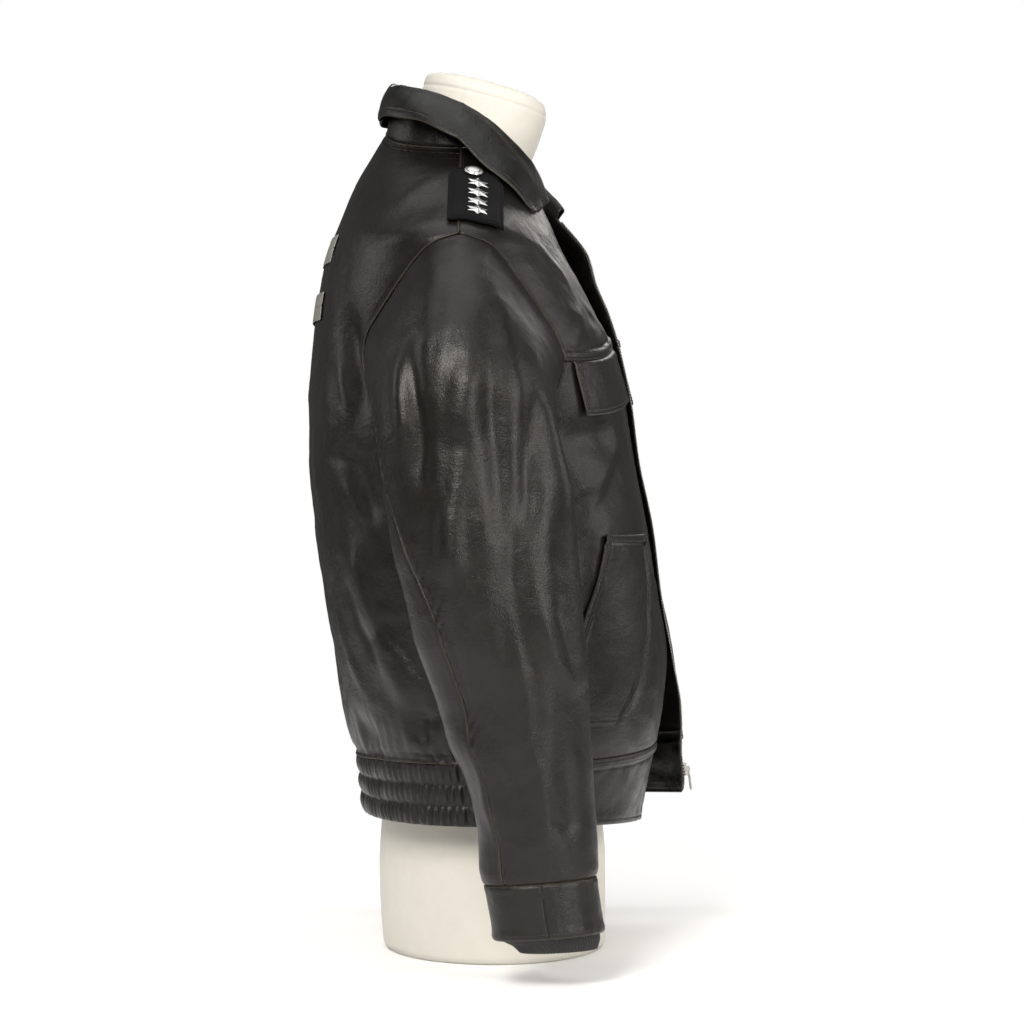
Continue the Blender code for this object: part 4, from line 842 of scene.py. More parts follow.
PROFILES = {
    Hem.PLAIN: Profile(mm(0, 10), mm(0, 0)),
    Hem.SEAM: Profile(mm(0, 0.9, 2.2, 4.5, 9), mm(-1.4, -0.4, 0.3, 0.3, 0)),
    Hem.STITCHED: Profile(mm(0, 0.8, 1.4, 2, 2.8, 5, 6.2, 9, 13),
                          mm(-1.3, 0.2, 0.3, -0.2, 0.4, 0.4, 0.2, 0, 0), mm(2), 0.0003),
    Hem.BANDED: Profile(mm(0, 0.8, 1.4, 2, 2.8, 6.2, 7, 7.8, 8.8, 9.8, 13),
                        mm(-0.8, 0.9, 1.3, 0.5, 1.4, 1.4, 1.3, 0.3, 0.6, -0.6, 0),
                        mm(2, 7.8), 0.0002),
    Hem.TURNED: Profile(mm(0, 0.6, 1.4, 2.8, 3.8, 4.6, 5.8, 7.8, 11),
                        mm(-0.6, 0.2, 0.6, 0.7, 0.4, 0, 0.5, 0.2, 0), mm(4.6), 0.0002),
    Hem.PUCKERED: Profile(mm(0, 0.9, 2.2, 4.5, 9), mm(-1.6, -0.6, 0.2, 0.4, 0), (), 0.0012),
    Hem.GATHERED: Profile(mm(0, 1.2, 3, 6, 12), mm(-2, -0.8, 0.6, 1, 0), (), 0.0017, 0.015, 0.026),
}
SEWN = dict.fromkeys(("low", "high", "start", "end"), Hem.SEAM)


def graded(length: float, pitch: float, fine_start: bool = True, fine_end: bool = True) -> Grid:
    """Places along a length, set closer together where an edge is sewn.

    Args:
        length: whole length.
        pitch: step away from the edges.
        fine_start: whether the first edge gets fine steps.
        fine_end: whether the last edge gets fine steps.

    Returns:
        Places from 0 to 1.
    """
    steps = np.array(EDGE_STEPS)
    first = steps if fine_start else steps[:1]
    last = length - steps[::-1] if fine_end else np.array((length,))
    count = max(int(round((last[0] - first[-1]) / pitch)), 2)
    middle = np.linspace(first[-1], last[0], count + 1)[1:-1]
    return np.concatenate((first, middle, last)) / length


@dataclass
class Cloth:
    """A sheet as a grid of points, with what is done to its four edges.

    low and high are the first and last rows, start and end the first and last columns. sign is
    1 where columns crossed with rows point out of the cloth.
    """

    name: str
    points: Grid
    sign: int
    low: Hem = Hem.PLAIN
    high: Hem = Hem.PLAIN
    start: Hem = Hem.PLAIN
    end: Hem = Hem.PLAIN
    seed: float = 1.0
    undulation: float = 0.0009
    closed: bool = False
    worn: Optional[Grid] = None

    def normals(self) -> Grid:
        """Directions out of the cloth."""
        across = np.gradient(self.points, axis=1)
        if self.closed:
            step = self.points[:, 1] - self.points[:, -2]
            across[:, 0], across[:, -1] = step / 2.0, step / 2.0
        return self.sign * unit(np.cross(across, np.gradient(self.points, axis=0)))

    def relief(self) -> Grid:
        """How far the hems and the unevenness of the cloth move each point out."""
        across, along = run_lengths(self.points, 1), run_lengths(self.points, 0)
        total = np.zeros(self.points.shape[:2])
        edges = (
            (self.start, across, along),
            (self.end, across[:, -1:] - across, along),
            (self.low, along, across),
            (self.high, along[-1:] - along, across),
        )
        worn = np.zeros_like(total)
        for hem, gap, run in edges:
            profile = PROFILES[hem]
            total = total + Curve(profile.distance, profile.rise)(gap)
            if hem is not Hem.PLAIN:
                worn = np.maximum(worn, np.exp(-gap / 0.0022))
            if profile.pucker:
                wander = 0.35 * ripple(stack(run, gap * 0.3, 0.0), (60.0, 60.0, 1.0), self.seed)
                wave = np.cos(FULL_TURN * (run / profile.wave + wander))
                uneven = 0.7 + 0.5 * ripple(stack(run, 0.0 * gap, 0.0), (21.0, 1.0, 1.0), 3.0)
                total = total + profile.pucker * wave * uneven * smooth_step(
                    0.0, 0.002, gap) * np.exp(-gap / profile.fade)
        soft = (
            self.undulation * ripple(self.points, (26.0, 26.0, 20.0), self.seed)
            + self.undulation * 0.45 * ripple(self.points, (70.0, 70.0, 95.0), self.seed + 3.0)
            + self.undulation * 0.16 * ripple(self.points, (190.0, 190.0, 330.0), self.seed + 5.0)
        )
        gaps = [gap for _, gap, _ in edges]
        calm = smooth_step(0.0, HEM_REACH, np.minimum.reduce(gaps[2:] if self.closed else gaps))
        carried = 1.0 - 0.8 * smooth_step(0.66, 0.70, self.points[..., 2])
        soft = soft * (0.25 + 0.75 * calm) * np.where(soft < 0.0, carried, 1.0)
        self.worn = np.clip(worn + soft / self.undulation * 0.25, 0.0, 1.0)
        return total + soft

    def relieve(self) -> "Cloth":
        """Moves the points out by the relief."""
        self.points = self.points + self.normals() * self.relief()[..., None]
        return self

    def raise_border(self, distance: Column, rise: Column) -> None:
        """Moves the points out by a relief that follows all four edges."""
        along, across = run_lengths(self.points, 0), run_lengths(self.points, 1)
        gap = np.minimum.reduce([along, along[-1:] - along, across, across[:, -1:] - across])
        self.points = self.points + self.normals() * Curve(distance, rise)(gap)[..., None]

    def area(self) -> float:
        """Area of the sheet."""
        one = self.points[1:, 1:] - self.points[:-1, :-1]
        two = self.points[1:, :-1] - self.points[:-1, 1:]
        return float(np.linalg.norm(np.cross(one, two), axis=-1).sum() / 2.0)

    def flat(self) -> Place:
        """Width and length of the cut."""
        width = run_lengths(self.points, 1)[:, -1].max()
        length = run_lengths(self.points, 0)[-1].max()
        return float(width), float(length)

    def path(self, edge: str, inset: float) -> tuple[Grid, Grid]:
        """A line on the cloth at a distance in from one of its edges.

        Args:
            edge: low, high, start or end.
            inset: distance in from it.

        Returns:
            Points of the line and the directions out of the cloth there.
        """
        points, normals = self.points, self.normals()
        if edge in ("start", "end"):
            points, normals = points.transpose(1, 0, 2), normals.transpose(1, 0, 2)
        if edge in ("high", "end"):
            points, normals = points[::-1], normals[::-1]
        along = run_lengths(points, 0)
        index = np.clip((along < inset).sum(axis=0), 1, len(points) - 1)
        columns = np.arange(points.shape[1])
        before, after = along[index - 1, columns], along[index, columns]
        t = np.clip((inset - before) / np.maximum(after - before, 1e-9), 0.0, 1.0)[:, None]
        line = blend(points[index - 1, columns], points[index, columns], t)
        return line, unit(blend(normals[index - 1, columns], normals[index, columns], t))

    def sewing(self) -> list[tuple[Grid, Grid]]:
        """Every row of stitching on the sheet."""
        rows = []
        for edge in ("low", "high", "start", "end"):
            for inset in PROFILES[getattr(self, edge)].rows:
                rows.append(self.path(edge, inset))
        return rows


def resample(line: Grid, normals: Grid, pitch: float) -> tuple[Grid, Grid, Grid]:
    """Places, tangents and normals at even steps along a line."""
    lengths = run_lengths(line, 0)
    count = max(int(lengths[-1] / pitch), 1)
    at = (np.arange(count) + 0.5) * lengths[-1] / count

    def read(values: Grid, where: Grid) -> Grid:
        """Values along the line."""
        return np.stack([np.interp(where, lengths, values[:, axis]) for axis in range(3)], -1)

    step = pitch * 0.3
    tangents = unit(read(line, at + step) - read(line, at - step))
    return read(line, at), tangents, unit(read(normals, at))


def placed(name: str, data: bpy.types.ID) -> Piece:
    """A new object in the scene."""
    item = bpy.data.objects.new(name, data)
    bpy.context.scene.collection.objects.link(item)
    return item


@dataclass
class Shop:
    """Adds finished pieces to the scene."""

    least_cut: float = 0.0102

    def add(self, name: str, mesh: Mesh, material: Material, body: str = ROOT,
            smooth: bool = True) -> Piece:
        """A mesh as a piece that moves with a body."""
        item = placed(name, mesh)
        mesh.materials.append(material)
        if smooth:
            mesh.shade_smooth()
        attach(item, body)
        return item

    def from_bmesh(self, name: str, bm: Shell) -> Mesh:
        """A mesh from a bmesh, which is freed."""
        mesh = bpy.data.meshes.new(name)
        bm.to_mesh(mesh)
        bm.free()
        return mesh

    def grid_mesh(self, name: str, points: Grid, sign: int, worn: Optional[Grid] = None,
                  closed: bool = False) -> Mesh:
        """A grid bent so that its points take their places, with its faces outwards.

        Args:
            name: name of the mesh.
            points: rows of columns of points.
            sign: 1 where columns crossed with rows point out.
            worn: how rubbed each point is, from 0 to 1.
            closed: whether the last column meets the first.

        Returns:
            The mesh, with a map in metres and the worn attribute.
        """
        if sign < 0:
            points = points[:, ::-1]
            worn = worn[:, ::-1] if worn is not None else None
        rows, columns = points.shape[0], points.shape[1]
        bm = bmesh.new()
        bmesh.ops.create_grid(bm, x_segments=columns - 1, y_segments=rows - 1, size=1.0)
        mesh = self.from_bmesh(name, bm)
        places = np.empty(len(mesh.vertices) * 3, np.float32)
        mesh.vertices.foreach_get("co", places)
        places = places.reshape(-1, 3)
        column = np.rint((places[:, 0] + 1.0) / 2.0 * (columns - 1)).astype(int)
        row = np.rint((places[:, 1] + 1.0) / 2.0 * (rows - 1)).astype(int)
        mesh.vertices.foreach_set("co", points[row, column].astype(np.float32).ravel())
        across, along = run_lengths(points, 1), run_lengths(points, 0)
        flat = np.stack((across[row, column], along[row, column]), -1)
        corner = np.empty(len(mesh.loops), np.int32)
        mesh.loops.foreach_get("vertex_index", corner)
        layer = mesh.uv_layers.new(name="UVMap")
        layer.data.foreach_set("uv", flat[corner].astype(np.float32).ravel())
        rubbed = mesh.attributes.new("worn", "FLOAT", "POINT")
        values = worn[row, column] if worn is not None else np.zeros(len(row))
        rubbed.data.foreach_set("value", values.astype(np.float32))
        mesh.update()
        if closed:
            bm = bmesh.new()
            bm.from_mesh(mesh)
            bmesh.ops.remove_doubles(bm, verts=bm.verts, dist=WELD)
            bm.to_mesh(mesh)
            bm.free()
        return mesh

    def cloth(self, cloth: Cloth, material: Material, slot: str, rests_on: Sequence[str],
              thickness: float = LEATHER_THICKNESS, held: str = "stretched",
              thread: Optional[Material] = None) -> Piece:
        """A sheet of cloth with its thickness and its stitching, in place of its solid.

        Args:
            cloth: the sheet.
            material: its finish.
            slot: not used.
            rests_on: not used.
            thickness: thickness of the cloth.
            held: not used.
            thread: finish of the stitching, or None for none.

        Returns:
            The piece.
        """
        mesh = self.grid_mesh(cloth.name, cloth.points, cloth.sign, cloth.worn, cloth.closed)
        piece = self.add(cloth.name + "_cloth", mesh, material)
        wall = piece.modifiers.new("wall", "SOLIDIFY")
        wall.thickness = thickness
        wall.offset = 0.0
        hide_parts(cloth.name)
        rows = cloth.sewing()
        if thread is not None and rows:
            self.sewn(cloth.name, rows, thickness, thread)
        width, length = (max(value, self.least_cut) for value in cloth.flat())
        area = min(cloth.area(), width * length)
        list(rests_on)
        LOG.info("%s: %d x %d points, cut %.3f x %.3f m, %.4f m2", cloth.name,
                 cloth.points.shape[0], cloth.points.shape[1], width, length, area)
        return piece

    def leather(self, cloth: Cloth, finishes: "Finishes", rests_on: Sequence[str],
                held: str = "stretched") -> Piece:
        """A sheet of the jacket's leather with its hems, its unevenness and its stitching."""
        return self.cloth(cloth.relieve(), finishes.leather, cloth.name + "_black_leather",
                          rests_on, held=held, thread=finishes.thread)

    def coat(self, node: str, material: Material) -> None:
        """Gives a solid its finish."""
        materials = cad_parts[node].data.materials
        materials.clear()
        materials.append(material)

    def repeated(self, name: str, template: Shell, places: Grid, right: Grid,
                 ahead: Grid, up: Grid, material: Material) -> Piece:
        """One mesh of many copies of a small shape.

        Args:
            name: name of the piece.
            template: the small shape, round its own origin.
            places: where each copy stands.
            right: direction of each copy's X.
            ahead: direction of each copy's Y.
            up: direction of each copy's Z.
            material: finish.

        Returns:
            The piece.
        """
        small = self.from_bmesh(name + "_one", template)
        count, corners = len(small.vertices), [tuple(face.vertices) for face in small.polygons]
        local = np.empty(count * 3, np.float32)
        small.vertices.foreach_get("co", local)
        local = local.reshape(-1, 3)
        bpy.data.meshes.remove(small)
        spots = (
            places[:, None]
            + right[:, None] * local[None, :, 0:1]
            + ahead[:, None] * local[None, :, 1:2]
            + up[:, None] * local[None, :, 2:3]
        ).reshape(-1, 3)
        faces = [
            tuple(index * count + vertex for vertex in face)
            for index in range(len(places))
            for face in corners
        ]
        mesh = bpy.data.meshes.new(name)
        mesh.from_pydata(spots.tolist(), [], faces)
        mesh.update()
        return self.add(name, mesh, material)

    def stitches(self, name: str, rows: Sequence[tuple[Grid, Grid]], lift: float,
                 material: Material) -> Piece:
        """Rows of small raised stitches, each sunk at both ends."""
        found = [resample(line, normals, STITCH_PITCH) for line, normals in rows]
        places, tangents, normals = (np.concatenate(values) for values in zip(*found))
        across = unit(np.cross(normals, tangents))
        bm = bmesh.new()
        bmesh.ops.create_cube(bm, size=1.0)
        bmesh.ops.scale(bm, vec=Vector(STITCH_SIZE), verts=bm.verts)
        middle = [edge for edge in bm.edges
                  if abs(edge.verts[0].co.y - edge.verts[1].co.y) > 0.001]
        cut = bmesh.ops.subdivide_edges(bm, edges=middle, cuts=1, use_grid_fill=True)
        ring = [vert for vert in cut["geom_inner"] if isinstance(vert, bmesh.types.BMVert)]
        bmesh.ops.translate(bm, vec=Vector((0.0, 0.0, STITCH_SWELL)), verts=ring)
        return self.repeated(name, bm, places + normals * lift, across, tangents, normals,
                             material)

    def sewn(self, name: str, rows: Sequence[tuple[Grid, Grid]], thickness: float,
             thread: Material) -> Piece:
        """The stitches on one sheet."""
        stitches = self.stitches("stitches_" + name, rows, thickness / 2.0, thread)
        return stitches


# Finishes


class Signal:
    """A number inside a material, with ordinary arithmetic on it."""

    def __init__(self, maker: "Finisher", socket: Socket) -> None:
        """Wraps an output socket."""
        self.maker = maker
        self.socket = socket

    def combine(self, operation: str, first: object, second: object) -> "Signal":
        """A Math node on two values."""
        node = self.maker.node("ShaderNodeMath", {"operation": operation}, {0: first, 1: second})
        return Signal(self.maker, node.outputs[0])

    def __add__(self, other: object) -> "Signal":
        """Sum."""
        return self.combine("ADD", self, other)

    def __radd__(self, other: object) -> "Signal":
        """Sum, from the right."""
        return self.combine("ADD", other, self)

    def __sub__(self, other: object) -> "Signal":
        """Difference."""
        return self.combine("SUBTRACT", self, other)

    def __rsub__(self, other: object) -> "Signal":
        """Difference, from the right."""
        return self.combine("SUBTRACT", other, self)

    def __mul__(self, other: object) -> "Signal":
        """Product."""
        return self.combine("MULTIPLY", self, other)

    def __rmul__(self, other: object) -> "Signal":
        """Product, from the right."""
        return self.combine("MULTIPLY", other, self)

    def __pow__(self, other: object) -> "Signal":
        """Power."""
        return self.combine("POWER", self, other)

    def sine(self) -> "Signal":
        """Sine."""
        return self.combine("SINE", self, 0.0)

    def held(self, low: float, high: float) -> "Signal":
        """The value kept between two limits."""
        return self.combine("MINIMUM", self.combine("MAXIMUM", self, low), high)


class Finisher:
    """Builds one procedural material."""

    def __init__(self, name: str) -> None:
        """Starts an empty material with its shader."""
        self.material = bpy.data.materials.new(name)
        self.material.use_nodes = True
        self.tree = self.material.node_tree
        self.shader = self.tree.nodes["Principled BSDF"]

    def node(self, kind: str, settings: dict, inputs: dict) -> bpy.types.Node:
        """A node with its settings, then its values and links.

        Args:
            kind: type of the node.
            settings: its properties.
            inputs: values, signals or sockets by input name or number.

        Returns:
            The node.
        """
        made = self.tree.nodes.new(kind)
        for name, value in settings.items():
            setattr(made, name, value)
        for name, value in inputs.items():
            self.connect(made.inputs[name], value)
        return made

    def connect(self, target: Socket, value: object) -> None:
        """A value, signal or socket into an input."""
        if isinstance(value, Signal):
            value = value.socket
        if isinstance(value, Socket):
            self.tree.links.new(value, target)
        else:
            target.default_value = value

    def shade(self, name: str, value: object) -> None:
        """A value, signal or socket into the shader."""
        self.connect(self.shader.inputs[name], value)

    def place(self) -> Socket:
        """Object coordinates."""
        return self.node("ShaderNodeTexCoord", {}, {}).outputs["Object"]

    def flat_place(self) -> Socket:
        """The piece's own map, in metres."""
        return self.node("ShaderNodeUVMap", {"uv_map": "UVMap"}, {}).outputs["UV"]

    def stretched(self, place: Socket, scale: Sequence[float]) -> Socket:
        """Coordinates scaled by a different amount along each axis."""
        mapped = self.node("ShaderNodeMapping", {}, {"Vector": place, "Scale": tuple(scale)})
        return mapped.outputs["Vector"]

    def noise(self, place: Socket, scale: float, detail: float = 3.0,
              rough: float = 0.5) -> Signal:
        """Noise from 0 to 1."""
        made = self.node("ShaderNodeTexNoise", {"noise_dimensions": "3D"},
                         {"Vector": place, "Scale": scale, "Detail": detail, "Roughness": rough})
        return Signal(self, made.outputs[0])

    def cells(self, place: Socket, scale: float, feature: str = "F1") -> Signal:
        """Distance inside the cells of a Voronoi pattern."""
        made = self.node("ShaderNodeTexVoronoi", {"feature": feature},
                         {"Vector": place, "Scale": scale})
        return Signal(self, made.outputs["Distance"])

    def parts(self, place: Socket) -> tuple[Signal, Signal, Signal]:
        """The three coordinates of a place."""
        made = self.node("ShaderNodeSeparateXYZ", {}, {0: place})
        return tuple(Signal(self, made.outputs[axis]) for axis in range(3))

    def attribute(self, name: str) -> Signal:
        """An attribute of the mesh."""
        made = self.node("ShaderNodeAttribute", {"attribute_name": name}, {})
        return Signal(self, made.outputs["Fac"])

    def mixed(self, share: object, one: object, two: object) -> Socket:
        """A colour between two others."""
        made = self.node("ShaderNodeMix", {"data_type": "RGBA"}, {0: share, 6: one, 7: two})
        return made.outputs[2]

    def bump(self, height: Signal, distance: float, strength: float = 1.0) -> None:
        """Relief from a height between 0 and 1, added to what the shader has."""
        found = self.shader.inputs["Normal"].links
        inputs = {"Height": height, "Distance": distance, "Strength": strength}
        if found:
            inputs["Normal"] = found[0].from_socket
        made = self.node("ShaderNodeBump", {}, inputs)
        self.shade("Normal", made.outputs["Normal"])


def paint(red: float, green: float, blue: float) -> tuple[float, float, float, float]:
    """An opaque linear colour, from thousandths of full brightness."""
    return tuple(round(value / 1000.0, 6) for value in (red, green, blue)) + (1.0,)


@dataclass(frozen=True)
class LeatherFinish:
    """Worn black leather: soft gloss, fine grain, rubbed ridges and edges."""

    name: str = "jacket_leather"
    deep: tuple = paint(4, 3.7, 3.1)
    faded: tuple = paint(11.2, 9.8, 8)
    rubbed: tuple = paint(34, 29, 22)
    roughness: float = 0.36
    gloss: float = 0.29
    grain: float = 0.00018

    def make(self) -> Material:
        """The material."""
        maker = Finisher(self.name)
        place = maker.place()
        patches = maker.noise(place, 9.0, 4.0, 0.6)
        blots = maker.noise(place, 46.0, 4.0, 0.62)
        grain = maker.cells(place, 1150.0)
        pores = maker.cells(place, 620.0)
        lines = maker.noise(maker.stretched(place, (170.0, 170.0, 250.0)), 1.0, 4.0, 0.62)
        worn = maker.attribute("worn")
        fade = (patches * 0.9 + blots * 0.7 - 0.42).held(0.0, 1.0)
        tone = maker.mixed(fade, self.deep, self.faded)
        rub = ((worn * 1.1 + blots * 0.9 + grain * 0.25 - 0.95) * 1.3).held(0.0, 0.75)
        maker.shade("Base Color", maker.mixed(rub, tone, self.rubbed))
        gloss = self.roughness + (blots - 0.5) * 0.22 + (lines - 0.5) * 0.12 + rub * 0.10
        maker.shade("Roughness", gloss.held(0.24, 0.75))
        maker.shade("Specular IOR Level", self.gloss)
        maker.bump(lines, 0.0010, 0.42)
        maker.bump(blots, 0.0010, 0.35)
        maker.bump(grain * 0.7 + pores * 0.6, self.grain, 0.9)
        return maker.material


@dataclass(frozen=True)
class ClothFinish:
    """Woven or knitted cloth on the piece's own map."""

    name: str
    colour: tuple
    lighter: tuple
    roughness: float
    threads: float
    relief: float
    sheen: float = 0.2
    gloss: float = 0.5

    def make(self) -> Material:
        """The material."""
        maker = Finisher(self.name)
        place = maker.place()
        flat_x, flat_y, _ = maker.parts(maker.flat_place())
        tone = maker.noise(place, 60.0, 4.0, 0.6)
        fuzz = maker.noise(place, 900.0, 2.0, 0.6)
        turn = FULL_TURN * self.threads
        warp = (flat_x * turn).sine()
        weft = (flat_y * turn).sine()
        weave = warp * weft * 0.5 + 0.5
        share = (tone * 0.6 + weave * 0.25 + fuzz * 0.3 - 0.15).held(0.0, 1.0)
        maker.shade("Base Color", maker.mixed(share, self.colour, self.lighter))
        maker.shade("Roughness", (fuzz * 0.1 + (self.roughness - 0.05)).held(0.2, 1.0))
        maker.shade("Sheen Weight", self.sheen)
        maker.shade("Specular IOR Level", self.gloss)
        maker.bump(weave * 0.8 + fuzz * 0.4, self.relief, 0.8)
        return maker.material


@dataclass(frozen=True)
class MetalFinish:
    """Handled metal with faint scratches."""

    name: str
    colour: tuple
    darker: tuple
    roughness: float
    metallic: float = 1.0

    def make(self) -> Material:
        """The material."""
        maker = Finisher(self.name)
        place = maker.place()
        dull = maker.noise(place, 240.0, 3.0, 0.6)
        scratch = maker.noise(maker.stretched(place, (300.0, 2600.0, 900.0)), 1.0, 2.0, 0.5)
        maker.shade("Base Color", maker.mixed((dull * 1.1 - 0.1).held(0.0, 1.0), self.darker,
                                              self.colour))
        maker.shade("Roughness", (self.roughness + (scratch - 0.5) * 0.16).held(0.08, 0.9))
        maker.shade("Metallic", self.metallic)
        maker.bump(scratch, 0.00005, 0.4)
        return maker.material


@dataclass(frozen=True)
class StripFinish:
    """Reflective strip: silver coating over cloth, slightly cracked with wear."""

    name: str = "reflective_strip"
    colour: tuple = paint(335, 325, 295)
    darker: tuple = paint(190, 185, 170)

    def make(self) -> Material:
        """The material."""
        maker = Finisher(self.name)
        place = maker.place()
        wear = maker.noise(place, 130.0, 5.0, 0.7)
        beads = maker.cells(place, 2200.0)
        cracks = maker.noise(maker.stretched(place, (60.0, 60.0, 420.0)), 1.0, 4.0, 0.6)
        share = (wear * 0.9 + cracks * 0.8 - 0.45).held(0.0, 1.0)
        maker.shade("Base Color", maker.mixed(share, self.darker, self.colour))
        maker.shade("Roughness", (0.34 + beads * 0.18 + wear * 0.1).held(0.2, 0.9))
        maker.shade("Metallic", 0.25)
        maker.bump(beads * 0.5 + cracks * 0.7, 0.00025, 0.6)
        return maker.material


@dataclass
class Finishes:
    """Every finish of the object, made once."""

    leather: Material
    collar: Material
    thread: Material
    slide: Material
    knit: Material
    linen: Material
    tape: Material
    star: Material
    button: Material
    zip_metal: Material
    strip: Material

    @classmethod
    def make(cls) -> "Finishes":
        """Builds them all."""
        return cls(
            leather=LeatherFinish().make(),
            collar=LeatherFinish("collar_leather", deep=paint(3.3, 3.3, 3),
                                 faded=paint(8.5, 8.2, 7.2), roughness=0.35).make(),
            thread=ClothFinish("sewing_thread", paint(9, 9, 8),
                               paint(26, 24, 22), 0.6, 1500.0, 0.00004, 0.05).make(),
            slide=ClothFinish("slide_cloth", paint(0.8, 0.8, 1.2),
                              paint(4, 4.2, 5.6), 0.85, 900.0, 0.00014, 0.02,
                              0.08).make(),
            knit=ClothFinish("cuff_knit", paint(4, 4, 4.2),
                             paint(13, 13, 13), 0.9, 520.0, 0.0003, 0.1).make(),
            linen=ClothFinish("form_linen", paint(550, 527, 472), paint(660, 640, 585),
                              0.88, 950.0, 0.00016, 0.1).make(),
            tape=ClothFinish("zip_tape", paint(10, 10, 10), paint(28, 28, 27),
                             0.8, 1100.0, 0.0001).make(),
            star=MetalFinish("star_metal", paint(800, 800, 780), paint(520, 520, 500),
                             0.24).make(),
            button=MetalFinish("button_metal", paint(700, 700, 680), paint(400, 400, 390),
                               0.30).make(),
            zip_metal=MetalFinish("zip_metal", paint(500, 490, 460), paint(250, 240, 220),
                                  0.32).make(),
            strip=StripFinish().make(),
        )


# Sub-assemblies


@dataclass
class Trunk:
    """Fronts, front yokes, back and back yoke."""

    body: BodyShape
    pitch: float = 0.0038
    back_pitch: float = 0.0042
    yoke_pitch: float = 0.0036
    front_width: float = 0.335
    back_half_width: float = 0.345
    shoulder_run: float = 0.11

    def rows(self, low: float, high: float, pitch: float) -> Grid:
        """Levels of the rows between two seams.

        Args:
            low: first level.
            high: last level.
            pitch: step between rows in metres.

        Returns:
            The levels.
        """
        at, read = self.body.levels, self.body.level_height
        levels = np.linspace(low, high, 60)
        heights = np.array([(read(at.side, value) + read(at.back, value)) / 2.0
                            for value in levels])
        spans = heights + np.maximum(levels - at.shoulder_tip, 0.0) * self.shoulder_run
        length = spans[-1] - spans[0]
        return np.interp(spans[0] + graded(length, pitch) * length, spans, levels)

    def front(self, name: str, side: int, low: float, high: float, hems: dict) -> Cloth:
        """A sheet of the front between two seam levels."""
        levels = self.rows(low, high, self.pitch)[:, None]
        across = graded(self.front_width, self.pitch)[None]
        points = self.body.panel(side, Face.FRONT, *np.broadcast_arrays(across, levels))
        return Cloth(name, points, side, seed=4.0 + side, **hems)

    def back(self, name: str, low: float, high: float, hems: dict,
             pitch: Optional[float] = None) -> Cloth:
        """A sheet of the back between two seam levels, from the right side to the left."""
        levels = self.rows(low, high, pitch or self.back_pitch)[:, None]
        half = graded(self.back_half_width, pitch or self.back_pitch, False, True)
        half = np.broadcast_arrays(half[None], levels)
        right = self.body.panel(RIGHT, Face.BACK, *half)[:, ::-1]
        left = self.body.panel(LEFT, Face.BACK, *half)
        points = np.concatenate((right[:, :-1], left), axis=1)
        return Cloth(name, points, 1, seed=9.0, **hems)

    def build(self, shop: Shop, finishes: Finishes) -> None:
        """Makes every panel."""
        at, on_form = self.body.levels, ["dress_form"]
        for side, name in SIDES:
            hems = SEWN | {"start": Hem.TURNED}
            cloth = self.front("front_" + name, side, at.band_seam, at.chest_seam, hems)
            shop.leather(cloth, finishes, on_form)
            hems = SEWN | {"low": Hem.BANDED, "high": Hem.PLAIN, "start": Hem.TURNED}
            cloth = self.front("front_yoke_" + name, side, at.chest_seam, at.neck, hems)
            shop.leather(cloth, finishes, on_form)
        hems = SEWN | {"low": Hem.GATHERED, "high": Hem.PLAIN}
        shop.leather(self.back("back", at.band_seam, at.yoke_seam, hems), finishes, on_form)
        hems = SEWN | {"low": Hem.PLAIN, "high": Hem.STITCHED}
        cloth = self.back("back_yoke", at.yoke_seam, at.neck, hems, self.yoke_pitch)
        shop.leather(cloth, finishes, on_form)


